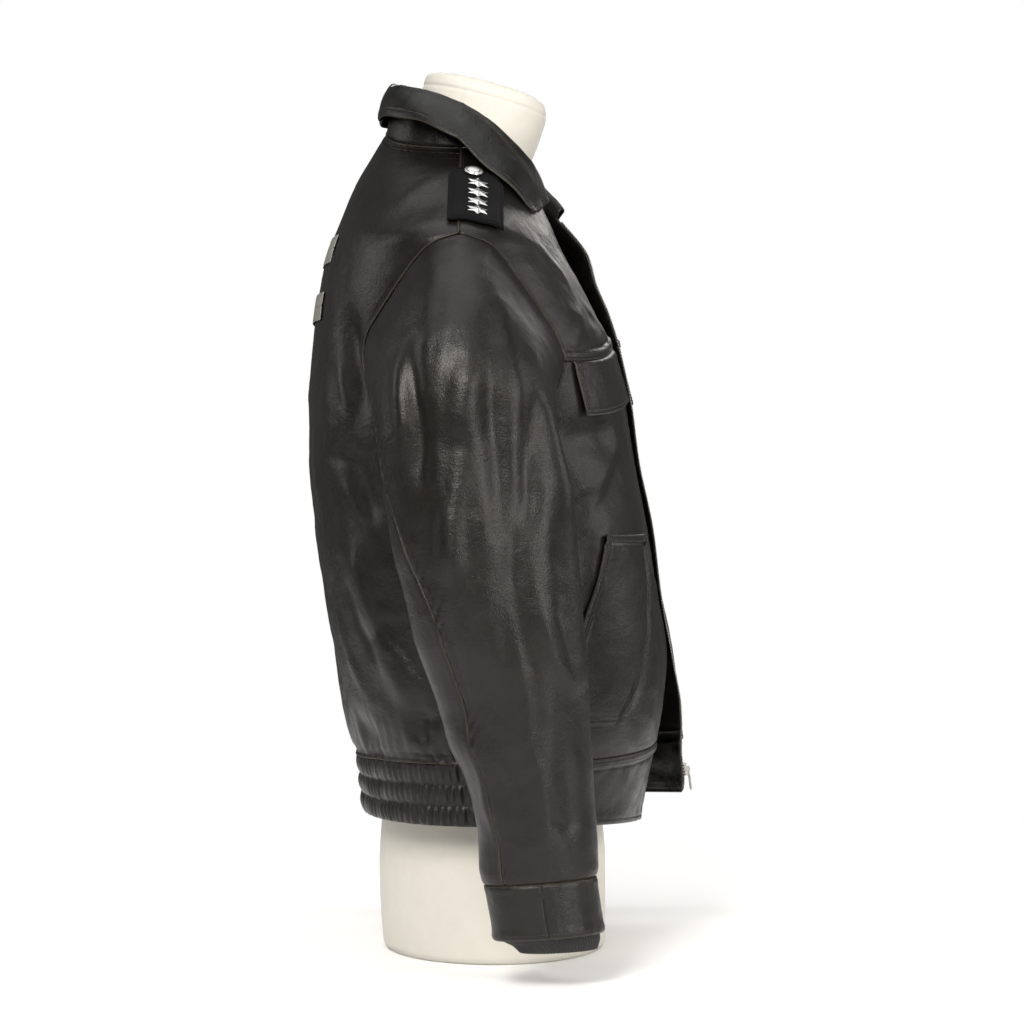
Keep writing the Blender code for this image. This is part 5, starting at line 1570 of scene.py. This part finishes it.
@dataclass
class Waistband:
    """Plain front bands and the elastic back band, gathered in three tiers."""

    body: BodyShape
    trunk: Trunk
    tiers: int = 3
    gathers: int = 60
    tier_puff: float = 0.0024
    gather_depth: float = 0.0009
    fine_depth: float = 0.0007
    front_undulation: float = 0.0017
    stitch_inset: float = 0.002
    half_columns: int = 320
    rows: int = 27

    def swell(self, across: Grid, level: Grid) -> Grid:
        """How far the elastic band stands out between its rows of stitching."""
        tier = np.abs(np.sin(math.pi * self.tiers * level)) ** 0.75
        number = np.floor(np.clip(level, 0.0, 0.999) * self.tiers)
        wander = 0.95 * ripple(stack(across, number * 0.37, 0.0), (7.0, 9.0, 1.0), 2.0)
        lean = 0.35 * (level * self.tiers - number - 0.5) * ripple(
            stack(across, number, 0.0), (11.0, 3.1, 1.0), 6.0)
        gather = np.cos(math.pi * self.gathers * (across + (wander + lean) / self.gathers))
        strength = 0.80 + 0.60 * ripple(stack(across, number * 0.7, 0.0), (13.0, 7.0, 1.0), 8.0)
        fine = np.cos(math.pi * self.gathers * 0.43 * (across + wander * 0.02))
        fine = fine * (1.0 - 0.4 * tier)
        side_fade = smooth_step(0.0, 0.04, 1.0 - np.abs(across))
        swelling = tier * (self.tier_puff * 0.85 + self.gather_depth * strength * gather)
        return (swelling + self.fine_depth * fine * 0.6) * side_fade

    def build(self, shop: Shop, finishes: Finishes) -> None:
        """Makes the three bands."""
        hems = {"low": Hem.TURNED, "high": Hem.BANDED, "start": Hem.TURNED, "end": Hem.STITCHED}
        at = self.body.levels
        for side, name in SIDES:
            cloth = self.trunk.front("waistband_front_" + name, side, at.hem, at.band_seam, hems)
            cloth.undulation = self.front_undulation
            shop.leather(cloth, finishes, ["front_" + name])
        level = np.linspace(0.0, 1.0, self.rows + 1)[:, None]
        half = np.linspace(0.0, 1.0, self.half_columns + 1)[None]
        half, level = np.broadcast_arrays(half, level)
        right = self.body.panel(RIGHT, Face.BACK, half, level, self.swell(-half, level))
        left = self.body.panel(LEFT, Face.BACK, half, level, self.swell(half, level))
        points = np.concatenate((right[:, :0:-1], left), axis=1)
        cloth = Cloth("waistband_back", points, 1, seed=12.0, undulation=0.0005)
        cloth.worn = np.clip(0.4 * (cloth.relief() / cloth.undulation), 0.0, 0.5)
        piece = shop.cloth(cloth, finishes.leather, "waistband_back_black_leather", ["back"],
                           held="gathered")
        tiers = [int(round(tier / self.tiers * self.rows)) for tier in range(1, self.tiers)]
        rows = [(points[row], cloth.normals()[row]) for row in tiers]
        rows += [cloth.path(edge, self.stitch_inset) for edge in ("low", "high")]
        shop.sewn(cloth.name, rows, LEATHER_THICKNESS, finishes.thread)
        LOG.info("%s: elastic rows sewn", piece.name)


@dataclass
class Sleeves:
    """Top and under sleeves with their leather and knit cuffs."""

    shape: SleeveShape
    pitch: float = 0.0037
    cap_length: float = 0.17
    sleeve_length: float = 0.385
    top_width: float = 0.29
    under_width: float = 0.13
    cuff_columns: int = 150
    cuff_rows: int = 26
    ribs: int = 74
    rib_columns: int = 6
    rib_depth: float = 0.0009
    knit_rows: int = 16
    knit_wall: float = 0.0016

    def along(self) -> Grid:
        """Rows of a sleeve, from the armhole (0) over the first ring (1) to the cuff (2)."""
        whole = self.cap_length + self.sleeve_length
        places = graded(whole, self.pitch) * whole
        return np.where(places < self.cap_length, places / self.cap_length,
                        1.0 + (places - self.cap_length) / self.sleeve_length)[:, None]

    def panel(self, side: int, name: str, upper: bool) -> Cloth:
        """A top or under sleeve."""
        along = self.along()
        front = math.radians(self.shape.front_turn)
        rear = self.shape.rear_seam(along)
        across = graded(self.top_width if upper else self.under_width, self.pitch)[None]
        if upper:
            turn = blend(rear - FULL_TURN, front, across)
        else:
            turn = blend(front, rear, across)
        points = self.shape.point(side, np.broadcast_to(along, turn.shape), turn)
        title = ("sleeve_top_" if upper else "sleeve_under_") + name
        hems = SEWN | ({"start": Hem.PUCKERED} if upper else {})
        return Cloth(title, points, side, seed=20.0 + 3.0 * side + upper, **hems)

    def cuff(self, side: int, name: str) -> Cloth:
        """Leather cuff: a short tube with a stitched foot and an overlap at its rear."""
        height = np.linspace(CUFF_RINGS.height[0], CUFF_RINGS.height[-1], self.cuff_rows)[:, None]
        turn = np.linspace(0.0, FULL_TURN, self.cuff_columns + 1)[None]
        points = CUFF_RINGS.point(side, height, turn)
        return Cloth("cuff_" + name, points, -side, low=Hem.TURNED, high=Hem.STITCHED,
                     seed=31.0 + side, undulation=0.0007, closed=True)

    def knit(self, side: int, name: str) -> Cloth:
        """Knit cuff: a ribbed tube that starts inside the leather cuff."""
        height = np.linspace(KNIT_RINGS.height[0], KNIT_RINGS.height[-1], self.knit_rows)[:, None]
        turn = np.linspace(0.0, FULL_TURN, self.ribs * self.rib_columns + 1)[None]
        rib = (np.abs(np.cos(self.ribs * turn / 2.0)) ** 0.8 - 1.0) * self.rib_depth
        fade = 1.0 - smooth_step(0.040, 0.046, height)
        lift = -self.knit_wall * 0.6 + rib * fade
        points = KNIT_RINGS.point(side, height, turn, lift)
        return Cloth("knit_cuff_" + name, points, -side, seed=40.0, undulation=0.0, closed=True)

    def build(self, shop: Shop, finishes: Finishes) -> None:
        """Makes both sleeves."""
        for side, name in SIDES:
            top = ["sleeve_top_" + name]
            shop.leather(self.panel(side, name, True), finishes, ["front_" + name, "back"])
            shop.leather(self.panel(side, name, False), finishes, top)
            shop.leather(self.cuff(side, name), finishes, top)
            cloth = self.knit(side, name)
            shop.cloth(cloth, finishes.knit, cloth.name + "_black_knit", ["cuff_" + name],
                       thickness=self.knit_wall)


@dataclass
class Collar:
    """One fold-over collar with its stand."""

    shape: CollarShape
    half_columns: int = 118
    rows: int = 44
    thickness: float = 0.0020
    stitch_inset: float = 0.0068
    border: Column = mm(0, 0.8, 2.2, 5.5, 6.2, 6.8, 7.6, 10, 13)
    border_rise: Column = mm(-0.3, 0.3, 0.6, 0.6, 0.4, -0.1, 0.4, 0.1, 0)
    rubbed_line: float = 0.42
    end_rows: float = 0.62

    def sheet(self) -> Cloth:
        """The collar's sheet, from the right front end round the neck to the left."""
        share = np.linspace(0.0, 1.0, self.half_columns + 1)
        place = 1.0 - share**1.15
        right = self.shape.profile(RIGHT, place)
        left = self.shape.profile(LEFT, place)[:, ::-1]
        knots = np.concatenate((right, left[:, 1:]), axis=1)
        lengths = run_lengths(knots, 0).mean(axis=1)
        steps = np.array(EDGE_STEPS)
        body = np.linspace(0.0, lengths[-1] - steps[-1], self.rows - len(steps) + 1)
        places = np.concatenate((body[:-1], lengths[-1] - steps[::-1]))
        index = np.interp(places, lengths, np.arange(len(lengths)))
        return Cloth("collar", self.smoothed(knots, index), 1, high=Hem.PLAIN, seed=50.0,
                     undulation=0.0007)

    @staticmethod
    def smoothed(knots: Grid, index: Grid) -> Grid:
        """Rows read between the knots along a smooth curve."""
        padded = np.concatenate((2 * knots[:1] - knots[1:2], knots, 2 * knots[-1:] - knots[-2:-1]))
        slopes = (padded[2:] - padded[:-2]) / 2.0
        low = np.clip(np.floor(index).astype(int), 0, len(knots) - 2)
        t = (index - low)[:, None, None]
        return hermite(knots[low], knots[low + 1], slopes[low], slopes[low + 1], t)

    def build(self, shop: Shop, finishes: Finishes) -> None:
        """Makes the collar, with a row of stitching along its edge and front ends."""
        cloth = self.sheet()
        along = run_lengths(cloth.points, 0)
        across = run_lengths(cloth.points, 1)
        fall = smooth_step(0.55, 0.7, along / along[-1:])
        ends = np.minimum(across, across[:, -1:] - across)
        gap = np.minimum(along[-1:] - along, np.where(fall > 0.2, ends, 1.0))
        edge = Curve(self.border, self.border_rise)(gap)
        puff = 0.0011 * ripple(cloth.points, (34.0, 30.0, 26.0), 51.0)
        puff = puff + 0.0004 * ripple(cloth.points, (110.0, 110.0, 90.0), 52.0)
        lift = edge * fall + np.maximum(puff, -0.0004) * smooth_step(0.0, HEM_REACH, gap)
        roll = 0.75 * np.exp(-((along / along[-1:] - self.rubbed_line) / 0.05) ** 2)
        cloth.worn = np.clip(np.exp(-gap / 0.0025) * fall + roll, 0.0, 1.0)
        cloth.points = cloth.points + cloth.normals() * lift[..., None]
        piece = shop.cloth(cloth, finishes.collar, "collar_black_leather",
                           ["back_yoke", "front_yoke_right", "front_yoke_left"],
                           thickness=self.thickness, held="folded")
        first = int(len(cloth.points) * self.end_rows)
        rows = []
        for edge, keep in (("high", slice(6, -6)), ("start", slice(first, -4)),
                           ("end", slice(first, -4))):
            line, normals = cloth.path(edge, self.stitch_inset)
            rows.append((line[keep], normals[keep]))
        shop.sewn(cloth.name, rows, self.thickness, finishes.thread)
        LOG.info("%s: edge sewn", piece.name)


@dataclass
class ShoulderSlides:
    """Cloth loops across the shoulders, each with a domed button and four stars."""

    body: BodyShape
    inner: float = 0.126
    outer: float = 0.2225
    middle_y: float = 0.022
    half: float = 0.0235
    front_short: float = 0.0080
    pitch: float = 0.0026
    out: float = 0.0038
    thickness: float = 0.0026
    face: float = 0.0053
    seam_gap: float = 0.0003
    button_place: Place = (0.134, 0.0245)
    button_radius: float = 0.0088
    button_height: float = 0.0045
    border: Column = mm(0, 0.7, 1.6, 3, 4.4, 5.6, 7, 10)
    border_rise: Column = mm(-1.1, 0.1, 0.6, 0.8, 0.4, -0.2, 0.1, 0)

    def strap_half(self, x: Grid) -> Grid:
        """Half the strap's width, rounded in at its neck end."""
        return self.half * (1.0 - 0.22 * smooth_step(-self.inner - 0.014, -self.inner, -x))

    def strap(self, side: int, name: str) -> Cloth:
        """The loop's upper face."""
        length = self.outer - self.inner
        across = graded(2.0 * self.half, self.pitch)[None] * 2.0 - 1.0
        short = self.front_short * smooth_step(0.1, 1.0, -across)
        x = self.inner + graded(length, self.pitch)[:, None] * (length - short)
        y = self.middle_y + self.strap_half(x) * across
        points = self.body.shoulder(side, x, y, self.out)
        cloth = Cloth("shoulder_slide_" + name, points, side, seed=60.0, undulation=0.0005)
        cloth.raise_border(self.border, self.border_rise)
        return cloth

    def slope(self, side: int) -> tuple[Vector, Vector, Vector, Vector]:
        """Where the button sits: origin, down the slope, across it and out of it."""
        x, y = self.button_place
        out = self.face + self.seam_gap
        spots = self.body.shoulder(side, np.array((x, x + 0.004, x)), np.array((y, y, y)),
                                   np.array((out, out, out + 0.004)))
        origin, down, above = (Vector(spot) for spot in spots)
        normal = (above - origin).normalized()
        down = (down - origin).normalized()
        return origin, down, normal.cross(down).normalized(), normal

    def button(self, shop: Shop, side: int, name: str, material: Material) -> None:
        """A plain domed button with a low rim, turned by a spin."""
        radius, height = self.button_radius, self.button_height
        dome = [(radius * 0.80 * math.sin(turn), height * (0.52 + 0.46 * math.cos(turn)))
                for turn in np.linspace(0.0, math.pi / 2.0, 9)]
        rim = [(radius * 0.86, height * 0.50), (radius * 0.93, height * 0.52),
               (radius, height * 0.36), (radius * 0.97, height * 0.10), (radius * 0.90, 0.0),
               (0.0, 0.0)]
        bm = bmesh.new()
        verts = [bm.verts.new((across, 0.0, up)) for across, up in dome + rim]
        edges = [bm.edges.new(pair) for pair in zip(verts, verts[1:])]
        bmesh.ops.spin(bm, geom=verts + edges, axis=(0.0, 0.0, 1.0), cent=(0.0, 0.0, 0.0),
                       angle=FULL_TURN, steps=48, use_merge=True)
        bmesh.ops.remove_doubles(bm, verts=bm.verts, dist=WELD / 2.0)
        bmesh.ops.recalc_face_normals(bm, faces=bm.faces)
        origin, down, across, normal = self.slope(side)
        seat = Matrix((down, across, normal)).transposed().to_4x4()
        seat.translation = origin
        bmesh.ops.transform(bm, matrix=seat, verts=bm.verts)
        title = "slide_button_" + name
        piece = shop.add(title + "_metal", shop.from_bmesh(title, bm), material)
        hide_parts(title)
        title + "_silver_button"

    def build(self, shop: Shop, finishes: Finishes) -> None:
        """Makes both slides and gives the stars their metal."""
        for side, name in SIDES:
            cloth = self.strap(side, name)
            shop.cloth(cloth, finishes.slide, cloth.name + "_black_leather",
                       ["front_yoke_" + name, "back"], thickness=self.thickness, held="laid")
            self.button(shop, side, name, finishes.button)
            for index in range(1, 5):
                shop.coat(f"star_{name}_{index}", finishes.star)


@dataclass
class Patches:
    """Chest flaps, slanted patch pockets and the reflective strips."""

    body: BodyShape
    out: float = 0.0027
    pitch: float = 0.0032
    flap_pitch: float = 0.0026
    flap_reach: float = 0.24
    pocket_pitch: float = 0.0031
    pocket_width: float = 0.11
    strip_pitch: float = 0.0022
    strip_columns: int = 71
    strip_out: float = 0.0022
    strip_thickness: float = 0.0005
    flap_drop: Column = mm(50, 36, 21, 1)
    flap_start: Column = (0.13, 0.12, 0.12, 0.12)
    flap_end: Column = (0.88, 0.90, 0.91, 0.92)
    flap_proud: Column = mm(2.2, 1.4, 0.4, -0.3)
    pocket_height: Column = mm(222, 240, 262, 282, 302, 324, 346, 370, 395)
    pocket_front: Column = (46.0, 41.0, 36.0, 31.5, 27.5, 24.5, 22.5, 21.0, 20.0)
    pocket_side: Column = (75.0, 73.0, 70.0, 66.5, 63.0, 59.0, 55.0, 51.0, 47.0)
    pocket_proud: Column = mm(0, 0.4, 0.8, 1, 1.2, 1, 0.8, 0.4, 0)
    strips: tuple = (("reflective_bar_upper", 0.651, 0.677),
                     ("reflective_bar_lower", 0.597, 0.623))
    strip_turn: float = 24.0

    def flap(self, side: int, name: str) -> Cloth:
        """A chest flap, which hangs along the chest seam."""
        length = self.flap_drop[0] - self.flap_drop[-1]
        share = graded(length, self.flap_pitch)[:, None]
        drop = self.flap_drop[0] - share * length
        steps = self.flap_drop[::-1]
        start = Curve(steps, self.flap_start[::-1])(drop)
        end = Curve(steps, self.flap_end[::-1])(drop)
        proud = Curve(steps, self.flap_proud[::-1])(drop)
        across = blend(start, end, graded(self.flap_reach, self.pitch)[None])
        seam = np.full((1, 1), self.body.levels.chest_seam)
        turns, heights = [], []
        for row in across:
            turn, height = self.body.place(side, Face.FRONT, row[None], seam)
            turns.append(turn[0])
            heights.append(height[0])
        turn, height = np.stack(turns), np.stack(heights) - drop
        points = self.body.point(side, turn, height, self.out + proud + 0.0 * turn)
        hems = dict.fromkeys(SEWN, Hem.TURNED) | {"high": Hem.SEAM}
        return Cloth("chest_flap_" + name, points, side, seed=70.0 + side, undulation=0.0007,
                     **hems)

    def pocket(self, side: int, name: str) -> Cloth:
        """A slanted patch pocket with a raised, double-stitched border."""
        length = self.pocket_height[-1] - self.pocket_height[0]
        height = (self.pocket_height[0] + graded(length, self.pocket_pitch) * length)[:, None]
        start = Curve(self.pocket_height, self.pocket_front)(height)
        end = Curve(self.pocket_height, self.pocket_side)(height)
        proud = Curve(self.pocket_height, self.pocket_proud)(height)
        across = graded(self.pocket_width, self.pocket_pitch)[None]
        turn = np.radians(blend(start, end, across))
        height = np.broadcast_to(height, turn.shape)
        points = self.body.point(side, turn, height, self.out + proud + 0.0 * turn)
        hems = dict.fromkeys(SEWN, Hem.BANDED)
        return Cloth("patch_pocket_" + name, points, side, seed=74.0 + side, **hems)

    def strip(self, name: str, low: float, high: float) -> Cloth:
        """A plain reflective strip over the centre back, with a thin raised border line."""
        height = (low + graded(high - low, self.strip_pitch) * (high - low))[:, None]
        turn = np.linspace(-self.strip_turn, self.strip_turn, self.strip_columns)[None]
        height, turn = np.broadcast_arrays(height, turn)
        back = math.pi - np.radians(np.abs(turn))
        right = self.body.point(RIGHT, back, height, self.strip_out)
        left = self.body.point(LEFT, back, height, self.strip_out)
        points = np.where((turn < 0.0)[..., None], right, left)
        cloth = Cloth(name, points, 1, seed=80.0, undulation=0.0003)
        cloth.raise_border(mm(0, 2, 2.7, 3.5, 5), mm(0, 0, -0.2, 0, 0))
        return cloth

    def build(self, shop: Shop, finishes: Finishes) -> None:
        """Makes them all."""
        for side, name in SIDES:
            for cloth in (self.flap(side, name), self.pocket(side, name)):
                shop.leather(cloth, finishes, ["front_" + name], "laid")
        for name, low, high in self.strips:
            cloth = self.strip(name, low, high)
            shop.cloth(cloth, finishes.strip, name + "_reflective_silver", ["back"],
                       thickness=self.strip_thickness, held="laid")


@dataclass
class Zip:
    """Zip tapes with their teeth on both open edges, and the slider with its pull tab."""

    body: BodyShape
    tape_width: float = 0.010
    tape: float = 0.0008
    edge_gap: float = 0.0003
    pitch: float = 0.0030
    ends: Place = (0.05, 4.9)
    rows: int = 190
    columns: int = 7
    tooth_inset: float = 0.0004
    tooth: Column = mm(3.6, 1.6, 1.3)

    def tape_points(self, side: int, level: Grid, inset: Grid) -> Grid:
        """Points of the tape at a distance in from the front edge."""
        height = np.array([self.body.inner_height(side, Face.FRONT, value) for value in level])
        height = height[:, None]
        turn = self.body.turn_at_x(height, self.body.edge_at[side](height) - inset[None])
        return self.body.point(side, turn, np.broadcast_to(height, turn.shape))

    def teeth(self, shop: Shop, cloth: Cloth, name: str, material: Material) -> None:
        """Moulded teeth along the tape's free edge."""
        line, normals = cloth.path("end", self.tooth_inset)
        places, tangents, ups = resample(line, normals, self.pitch)
        across = unit(np.cross(tangents, ups))
        bm = bmesh.new()
        bmesh.ops.create_cube(bm, size=1.0)
        bmesh.ops.scale(bm, vec=Vector(self.tooth), verts=bm.verts)
        sharp = [edge for edge in bm.edges if abs(edge.verts[0].co.y - edge.verts[1].co.y) > 0.001]
        bmesh.ops.bevel(bm, geom=sharp, offset=self.tooth_inset, offset_type="OFFSET", segments=1,
                        profile=0.5, affect="EDGES", material=-1)
        teeth = shop.repeated("zip_teeth_" + name, bm, places, across, tangents, ups, material)
        LOG.info("%s: %d teeth", teeth.name, len(places))

    def build(self, shop: Shop, finishes: Finishes) -> None:
        """Makes both halves and gives the slider and pull their metal."""
        for side, name in SIDES:
            level = np.linspace(*self.ends, self.rows)
            inset = np.linspace(self.edge_gap, self.tape_width, self.columns)
            points = self.tape_points(side, level, inset)
            cloth = Cloth("zip_tape_" + name, points, -side, seed=90.0, undulation=0.0)
            shop.cloth(cloth, finishes.tape, cloth.name + "_zip_tape", ["front_" + name],
                       thickness=self.tape)
            self.teeth(shop, cloth, name, finishes.zip_metal)
        for node in ("zip_slider", "zip_pull"):
            shop.coat(node, finishes.zip_metal)


@dataclass
class DressForm:
    """The linen-covered form, with its neck cap's seam and a seam down the neck."""

    shape: FormShape
    columns: int = 150
    seat_gap: float = 0.0006
    cap_drop: float = 0.0105
    seam_depth: float = 0.0009
    seam_width: float = 0.0014
    seam_turns: Place = (4.35, 1.93)
    seam_from: Place = (0.77, 0.78)
    tucked_from: Place = (0.64, 0.67)
    tucked_to: Place = (0.765, 0.78)
    neck_radius: float = 0.058
    runs: tuple = ((0.0, 0.006, 4), (0.006, 0.70, 116), (0.70, 0.79, 24), (0.79, 0.828, 40))

    def build(self, shop: Shop, finishes: Finishes) -> None:
        """Makes the closed form."""
        runs = [np.linspace(*run)[:-1] for run in self.runs]
        heights = np.append(np.concatenate(runs), self.runs[-1][1])[:, None]
        turn = np.linspace(0.0, FULL_TURN, self.columns + 1)[None]
        gap = np.abs(heights - (self.shape.height[-2] - self.cap_drop))
        seam = -self.seam_depth * np.exp(-(gap / self.seam_width) ** 2)
        side_seam = np.minimum(*(np.abs(turn - at) for at in self.seam_turns)) * self.neck_radius
        upright = -self.seam_depth * 0.8 * np.exp(-(side_seam / self.seam_width) ** 2)
        tucked = smooth_step(*self.tucked_from, heights)
        tucked = tucked * (1.0 - smooth_step(*self.tucked_to, heights))
        out = seam + upright * smooth_step(*self.seam_from, heights) - self.seat_gap * tucked
        points = self.shape.point(heights, turn, out)
        mesh = shop.grid_mesh("dress_form", points, 1, None, True)
        bm = bmesh.new()
        bm.from_mesh(mesh)
        rims = [edge for edge in bm.edges if edge.is_boundary]
        bmesh.ops.holes_fill(bm, edges=rims)
        bmesh.ops.recalc_face_normals(bm, faces=bm.faces)
        bm.to_mesh(mesh)
        bm.free()
        piece = shop.add("dress_form_linen", mesh, finishes.linen)
        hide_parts("dress_form")
        LOG.info("%s: %d points", piece.name, len(mesh.vertices))


@dataclass
class Studio:
    """Pale floor, soft lights and the camera."""

    camera_place: tuple = (-3.3, -0.012, 0.417)
    lens: float = 120.0
    floor_size: float = 1.25
    floor_height: float = -0.0005
    light_colour: tuple = (1.0, 0.965, 0.915)
    aim: tuple = (0.0, 0.0, 0.45)
    sky_power: float = 1.6
    world_strength: float = 0.11
    lights: tuple = (
        ("key_light", (-2.5, 0.7, 1.9), (0.9, 1.4), 92.0),
        ("front_light", (-1.9, -2.3, 1.7), (0.8, 1.4), 24.0),
        ("low_light", (-2.3, -1.45, 0.8), (0.45, 1.5), 31.0),
        ("edge_light", (0.6, -2.6, 1.2), (0.9, 1.4), 14.0),
        ("back_edge_light", (0.6, 2.6, 1.4), (0.9, 1.6), 13.0),
        ("far_light", (2.6, -0.4, 1.9), (1.4, 1.4), 26.0),
    )

    def build(self) -> None:
        """Sets them up."""
        bm = bmesh.new()
        bmesh.ops.create_grid(bm, x_segments=1, y_segments=1, size=self.floor_size)
        mesh = bpy.data.meshes.new("floor")
        bm.to_mesh(mesh)
        bm.free()
        floor = placed("floor", mesh)
        floor.location.z = self.floor_height
        maker = Finisher("pale_floor")
        maker.shade("Base Color", paint(930, 930, 930))
        maker.shade("Roughness", 0.95)
        mesh.materials.append(maker.material)
        for light in self.lights:
            self.light(*light)
        sky = bpy.data.lights.new("sky_light", "SUN")
        sky.energy = self.sky_power
        sky.angle = math.radians(70.0)
        placed("sky_light", sky)
        world = bpy.data.worlds.new("studio")
        bpy.context.scene.world = world
        world.use_nodes = True
        tree = world.node_tree
        background = tree.nodes["Background"]
        background.inputs["Color"].default_value = (1.0, 1.0, 1.0, 1.0)
        ray = tree.nodes.new("ShaderNodeLightPath")
        seen = tree.nodes.new("ShaderNodeMapRange")
        seen.inputs["To Min"].default_value = self.world_strength
        seen.inputs["To Max"].default_value = 1.0
        tree.links.new(ray.outputs["Is Camera Ray"], seen.inputs["Value"])
        tree.links.new(seen.outputs["Result"], background.inputs["Strength"])
        camera = bpy.data.cameras.new("camera")
        camera.lens = self.lens
        camera.sensor_width = 36.0
        camera.clip_end = 100.0
        item = placed("camera", camera)
        item.location = self.camera_place
        item.rotation_euler = (math.pi / 2.0, 0.0, -math.pi / 2.0)
        bpy.context.scene.camera = item
        bpy.context.scene.view_settings.view_transform = "Standard"

    def light(self, name: str, place: Sequence[float], size: Place, power: float) -> None:
        """A soft area light aimed at the jacket's middle."""
        lamp = bpy.data.lights.new(name, "AREA")
        lamp.shape = "RECTANGLE"
        lamp.size, lamp.size_y = size
        lamp.energy = power
        lamp.color = self.light_colour
        item = placed(name, lamp)
        item.location = place
        aim = Vector(self.aim) - Vector(place)
        item.rotation_euler = aim.to_track_quat("-Z", "Y").to_euler()


def main() -> None:
    """Dresses every piece of the jacket and its form."""
    logging.basicConfig(level=logging.INFO, format="%(message)s")
    finishes = Finishes.make()
    shop = Shop()
    body = BodyShape()
    DressForm(FormShape(body)).build(shop, finishes)
    trunk = Trunk(body)
    trunk.build(shop, finishes)
    Waistband(body, trunk).build(shop, finishes)
    Sleeves(SleeveShape(body)).build(shop, finishes)
    Collar(CollarShape(body)).build(shop, finishes)
    ShoulderSlides(body).build(shop, finishes)
    Patches(body).build(shop, finishes)
    Zip(body).build(shop, finishes)
    Studio().build()


if __name__ == "__main__":
    main()
